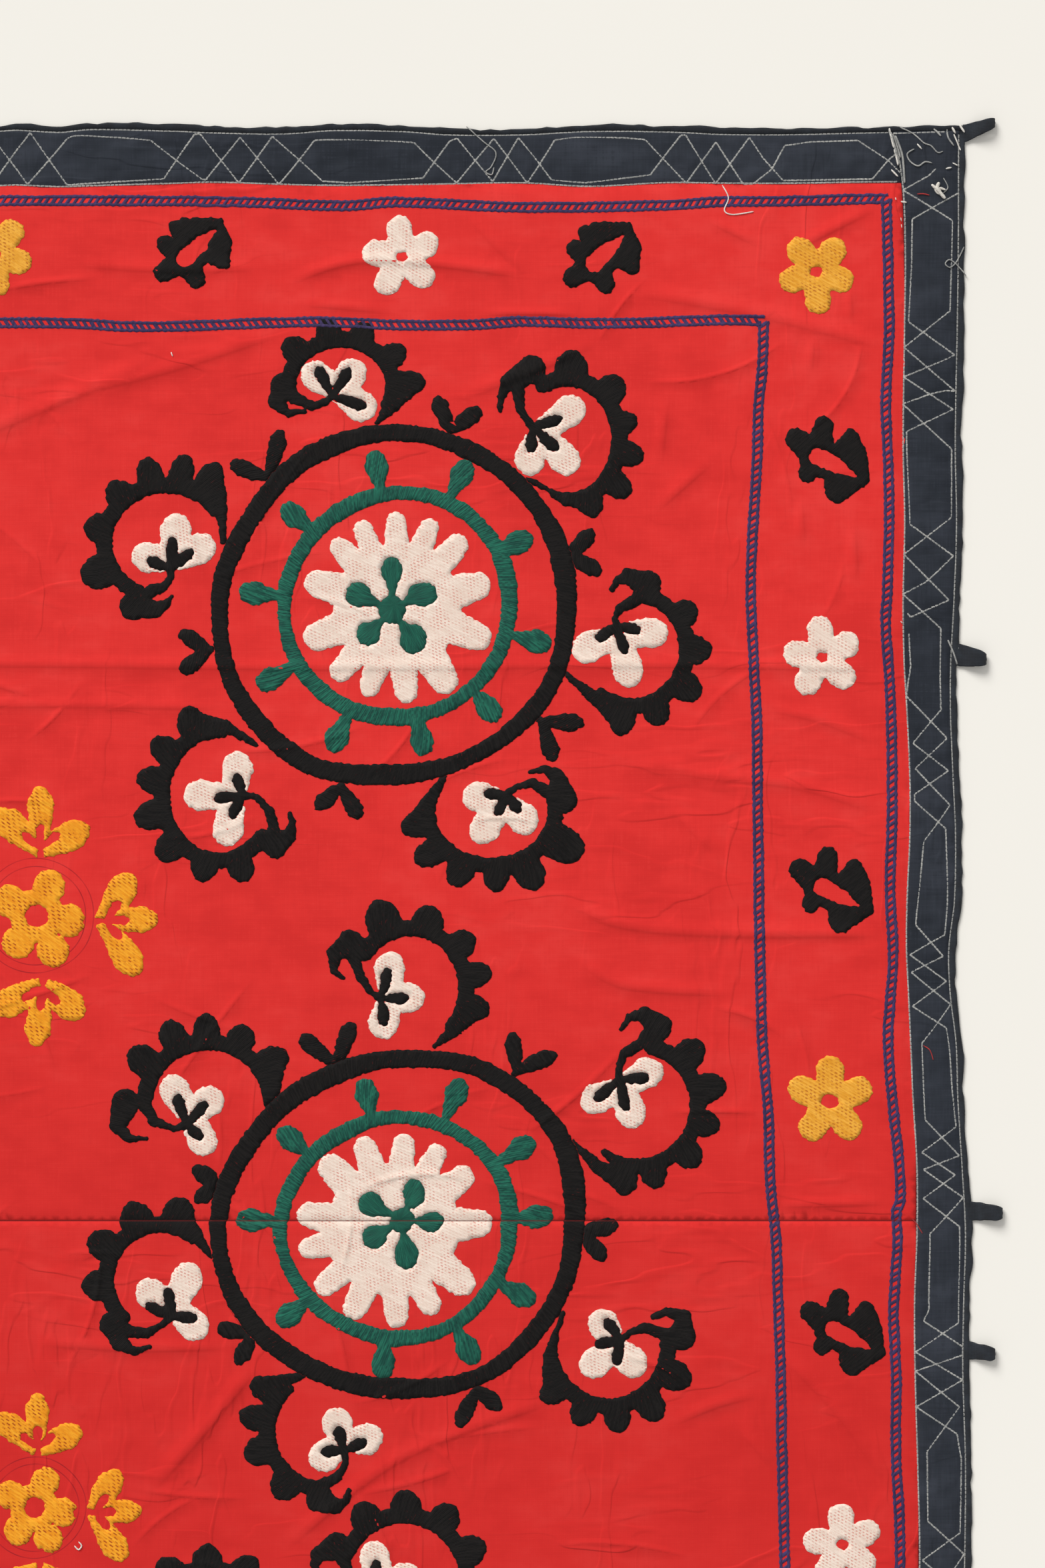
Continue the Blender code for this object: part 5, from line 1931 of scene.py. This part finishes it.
def cotton(name, colours, pitch, cloud, slub, bump, field=False):
    """Woven cotton with clouded dye, thick and thin threads both ways, and its weave. The field has a
    painted shadow along its seam and drawn circles as well."""
    dark, middle, light = (srgb(*colour) for colour in colours)
    shader = Shader(name)
    place = shader.object_place()
    broad = shader.noise(place, 5.5, 3.0)
    patchy = shader.noise(place, 30.0, 4.0, (1, 1.6, 1))
    warp = shader.noise(place, 60.0, 2.0, (9.0, 0.6, 1))
    weft = shader.noise(place, 60.0, 2.0, (0.6, 9.0, 1))
    woven = weave(shader, place, pitch)
    clouds = shader.weighted(broad, 0.55, patchy, 0.45)
    threads = shader.maths("MULTIPLY", shader.maths("ADD", warp, weft), 0.5)
    colour = shader.blend(shader.ramp(clouds, 0.52, 0.38, 0.0, cloud), middle, dark)
    colour = shader.blend(shader.ramp(clouds, 0.50, 0.64, 0.0, cloud), colour, light)
    colour = shader.blend(shader.ramp(threads, 0.50, 0.68, 0.0, slub), colour, light)
    colour = shader.blend(shader.ramp(threads, 0.50, 0.34, 0.0, slub), colour, dark)
    if field:
        colour = shader.deepened(colour)
        for middle_x, middle_y, size in CROSSES:
            for radius in DRAWN_RADII:
                colour = shader.drawn_ring(colour, middle_x, middle_y, radius * size)
        # painted shadow along the seam between the widths
        colour = shader.painted_seam_shadow(colour)
    height = shader.maths("ADD", shader.maths("MULTIPLY", woven, 0.5), threads)
    fine = shader.bump(height, bump, 0.0004)
    ridges = shader.wrinkles(place, (1.0, 0.30, 1), 31.0)
    ridges = shader.maths("ADD", ridges, shader.wrinkles(place, (0.28, 1.0, 1), 27.0))
    normal = shader.bump(ridges, 0.55, 0.0009, fine)
    roughness = shader.ramp(threads, 0.3, 0.7, 0.80, 0.94)
    return shader.finish(colour, roughness, normal, 0.03, 0.14)


def thread(name, colours, dash, dash_size, specks=None, strand=0.0009, gloss=(0.06, 0.22)):
    """Laid embroidery thread: strands side by side, held down by rows of small stitches."""
    dark, middle, light, gap = (srgb(*colour) for colour in colours)
    shader = Shader(name)
    place = shader.thread_place()
    wander = shader.node("ShaderNodeTexNoise", (), {"Vector": place, "Scale": 170.0, "Detail": 2.0})
    centred = shader.vector("SUBTRACT", wander.outputs["Color"], (0.5, 0.5, 0.5))
    shaken = shader.vector("MULTIPLY_ADD", centred, (0.0030, 0.0016, 0.0), place)
    parts = shader.node("ShaderNodeSeparateXYZ", (), {"Vector": shaken})
    along, across = parts.outputs[0], parts.outputs[1]
    strands = shader.maths("SINE", shader.maths("MULTIPLY", across, 2 * math.pi / strand))
    rows = shader.maths("MULTIPLY", across, 1 / dash_size[1])
    row = shader.maths("FLOOR", rows)
    beside = shader.maths("ABSOLUTE", shader.maths("SUBTRACT", shader.maths("FRACT", rows), 0.5))
    offset = shader.weighted(along, 1 / dash_size[0], row, 0.37)
    spot = shader.maths("ABSOLUTE", shader.maths("SUBTRACT", shader.maths("FRACT", offset), 0.5))
    mark = shader.maths("MULTIPLY", shader.ramp(spot, 0.34, 0.18), shader.ramp(beside, 0.30, 0.12))
    patches = shader.noise(place, 90.0, 3.0)
    mark = shader.maths("MULTIPLY", mark, shader.ramp(patches, 0.40, 0.60, 0.15, 1.0))
    streaks = shader.noise(place, 420.0, 2.0, (0.16, 1.6, 1))
    clouds = shader.noise(place, 28.0, 3.0)
    colour = shader.blend(shader.ramp(streaks, 0.36, 0.64), dark, light)
    colour = shader.blend(0.40, colour, middle)
    colour = shader.blend(shader.ramp(clouds, 0.44, 0.66, 0.0, 0.40), colour, dark)
    colour = shader.blend(shader.maths("MULTIPLY", mark, dash), colour, gap)
    if specks is not None:
        spots = shader.noise(place, 520.0, 2.0, (0.5, 1.5, 1))
        grouped = shader.maths("MULTIPLY", shader.ramp(spots, 0.62, 0.72), shader.ramp(clouds, 0.50, 0.62))
        colour = shader.blend(shader.maths("MULTIPLY", grouped, 0.7), colour, srgb(*specks))
    # painted shadow where the embroidery crosses the seam
    colour = shader.painted_seam_shadow(colour)
    height = shader.maths("ADD", shader.maths("MULTIPLY", strands, 0.30), streaks)
    height = shader.maths("SUBTRACT", height, shader.maths("MULTIPLY", mark, 0.45))
    normal = shader.bump(height, 0.40, 0.0005)
    roughness = shader.ramp(streaks, 0.3, 0.7, 0.60, 0.80)
    return shader.finish(colour, roughness, normal, *gloss)


def twisted(name, colours):
    """Two-ply sewing thread."""
    dark, light = (srgb(*colour) for colour in colours)
    shader = Shader(name)
    place = shader.object_place()
    fibres = shader.noise(place, 1400.0, 2.0, (1, 1, 1))
    worn = shader.noise(place, 90.0, 2.0)
    share = shader.weighted(fibres, 0.6, worn, 0.4)
    colour = shader.blend(shader.ramp(share, 0.36, 0.62), dark, light)
    normal = shader.bump(fibres, 0.5, 0.0003)
    return shader.finish(colour, shader.ramp(fibres, 0.3, 0.7, 0.6, 0.85), normal, 0.2, 0.3)


def tape_finish(name, colours):
    """Narrow cotton tape with fine ribs, rubbed lighter in places."""
    dark, light = (srgb(*colour) for colour in colours)
    shader = Shader(name)
    place = shader.object_place()
    woven = weave(shader, place, 0.0007)
    ribs = shader.noise(place, 700.0, 2.0)
    rubbed = shader.noise(place, 110.0, 4.0)
    share = shader.weighted(woven, 0.25, rubbed, 0.75)
    colour = shader.blend(shader.ramp(share, 0.34, 0.66), dark, light)
    roughness = shader.ramp(rubbed, 0.3, 0.7, 0.72, 0.92)
    normal = shader.bump(shader.maths("ADD", woven, ribs), 0.5, 0.0004)
    return shader.finish(colour, roughness, normal, 0.1, 0.3)


# Colours from dark to light, in parts of 0 to 255. A laid thread has a fourth one, which shows
# between its stitches.
RED_CLOTH = ((211, 43, 41), (224, 50, 47), (232, 62, 58))
NAVY_CLOTH = ((36, 40, 47), (46, 50, 58), (57, 61, 70))
BLACK_TAPE = ((24, 27, 33), (46, 51, 58))
BLACK_THREAD = ((16, 15, 15), (24, 22, 22), (34, 31, 30), (10, 9, 9))
CREAM_THREAD = ((230, 206, 190), (242, 221, 206), (250, 234, 220), (214, 140, 126))
GREEN_THREAD = ((6, 60, 52), (12, 82, 68), (40, 122, 98), (4, 44, 40))
YELLOW_THREAD = ((222, 146, 30), (240, 170, 52), (250, 186, 76), (176, 92, 24))
AMBER_THREAD = ((230, 136, 10), (247, 163, 26), (254, 180, 50), (166, 70, 10))
BLUE_THREAD = ((44, 34, 70), (58, 46, 88), (78, 64, 112), (36, 28, 60))
GREY_SEWING = ((128, 129, 128), (178, 177, 172))
WHITE_SEWING = ((206, 200, 190), (240, 236, 228))
RED_SEWING = ((132, 26, 28), (190, 44, 42))
RED_SPECKS = (88, 26, 26)


def make_finishes():
    """Every material of the cloth, by a short name."""
    black_looks = {"specks": RED_SPECKS, "strand": 0.0010, "gloss": (0.02, 0.10)}
    return {
        "red": cotton("red cotton", RED_CLOTH, pitch=0.0008, cloud=0.7, slub=0.30, bump=0.22, field=True),
        "navy": cotton("navy cotton", NAVY_CLOTH, pitch=0.0009, cloud=0.8, slub=0.45, bump=0.4),
        "tape": tape_finish("black tape", BLACK_TAPE),
        "black": thread("black thread", BLACK_THREAD, 0.30, (0.0040, 0.0022), **black_looks),
        "cream": thread("cream thread", CREAM_THREAD, 0.85, (0.0034, 0.0023)),
        "green": thread("green thread", GREEN_THREAD, 0.55, (0.0050, 0.0022), strand=0.0014),
        "yellow": thread("yellow thread", YELLOW_THREAD, 0.80, (0.0042, 0.0025)),
        "amber": thread("amber thread", AMBER_THREAD, 0.95, (0.0060, 0.0024)),
        "blue": thread("blue thread", BLUE_THREAD, 0.3, (0.0050, 0.0030)),
        "grey": twisted("grey sewing thread", GREY_SEWING),
        "white": twisted("white thread", WHITE_SEWING),
        "scarlet": twisted("red thread", RED_SEWING),
    }


# Stage


def make_stage():
    """A plain pale floor."""
    shader = Shader("pale floor")
    mottled = shader.noise(shader.object_place(), 3.0, 2.0)
    colour = shader.blend(mottled, srgb(243, 240, 233), srgb(245, 242, 235))
    shader.finish(colour, 0.95, shader.bump(mottled, 0.02, 0.001), 0.0, 0.05)
    corners = [(FLOOR_HALF * x, FLOOR_HALF * y, 0) for x, y in ((-1, -1), (1, -1), (1, 1), (-1, 1))]
    mesh = build_mesh("floor", corners, [[(0, 1, 2, 3)]])
    mesh.materials.append(shader.material)
    floor = bpy.data.objects.new("floor", mesh)
    floor.location = (0, 0, -FLOOR_DROP)
    bpy.context.scene.collection.objects.link(floor)


def make_lights():
    """A soft window light from the upper left, and an even pale sky."""
    world = bpy.data.worlds.new("studio")
    bpy.context.scene.world = world
    world.use_nodes = True
    sky = world.node_tree.nodes["Background"]
    sky.inputs["Color"].default_value = SKY_COLOUR
    sky.inputs["Strength"].default_value = SKY_STRENGTH
    lamp = bpy.data.lights.new("window light", "SUN")
    lamp.energy = SUN_STRENGTH
    lamp.angle = math.radians(SUN_SPREAD)
    lamp.color = SUN_COLOUR
    thing = bpy.data.objects.new("window light", lamp)
    thing.rotation_euler = [math.radians(angle) for angle in SUN_TURN]
    bpy.context.scene.collection.objects.link(thing)


def make_camera():
    """Straight above the cloth, framed as the photograph is."""
    camera = bpy.data.cameras.new("camera")
    camera.lens = LENS
    camera.sensor_fit = "AUTO"
    camera.sensor_width = SENSOR
    distance = PHOTO_HEIGHT * METRES_PER_PIXEL * LENS / SENSOR
    thing = bpy.data.objects.new("camera", camera)
    thing.location = (CAMERA_AIM[0], CAMERA_AIM[1], CAMERA_AIM[2] + distance)
    bpy.context.scene.collection.objects.link(thing)
    bpy.context.scene.camera = thing
    bpy.context.scene.view_settings.view_transform = "Standard"


def main():
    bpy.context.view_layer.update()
    finishes = make_finishes()
    field = Field()
    panels = [
        make_width("cloth_upper", 1, field, finishes["red"], "panel_upper"),
        make_width("cloth_lower", -1, field, finishes["red"], "panel_lower"),
    ]
    strips = []
    for number, strip in enumerate(make_strips()):
        thing = make_strip(strip, finishes["navy"], strip.name.replace("strip", "border"))
        stitches = make_stitches(strip, finishes["grey"], 700 + number)
        strips.append((strip, thing, [stitches]))
    tapes = {tape.name: tape for tape in make_bindings(finishes["tape"])}
    loops = [make_loop(number, row, finishes["tape"]) for number, row in enumerate(LOOPS, 1)]
    work = []
    rows = (("top", MEDALLION_TOP), ("middle", MEDALLION_MIDDLE), ("bottom", MEDALLION_BOTTOM))
    for number, (name, medallion) in enumerate(rows):
        work += make_medallion(f"{name}_right", medallion, field, finishes, 40 + 50 * number)
        again = moved(medallion, LEFT_COLUMN)
        work += make_medallion(f"{name}_left", again, field, finishes, 65 + 50 * number)
    for number, (x, y, size) in enumerate(CROSSES, 1):
        work.append(make_cross(f"cross_{number}", x, y, size, field, finishes, 200 + number))
    work += make_flowers(field, finishes)
    work += make_chains(field, finishes)
    ground = Ground([*panels, *tapes.values(), *[thing for _, thing, _ in strips]])
    make_threads("threads_grey", GREY_THREADS, ground, finishes["grey"])
    make_threads("threads_white", WHITE_THREADS, ground, finishes["white"])
    make_threads("threads_red", RED_THREADS, ground, finishes["scarlet"])
    for strip, _, trimmings in strips:
        trimmings.append(tapes[strip.name.replace("strip", "tape")])
    strips[0][2].extend(loops)
    make_stage()
    make_lights()
    make_camera()


main()
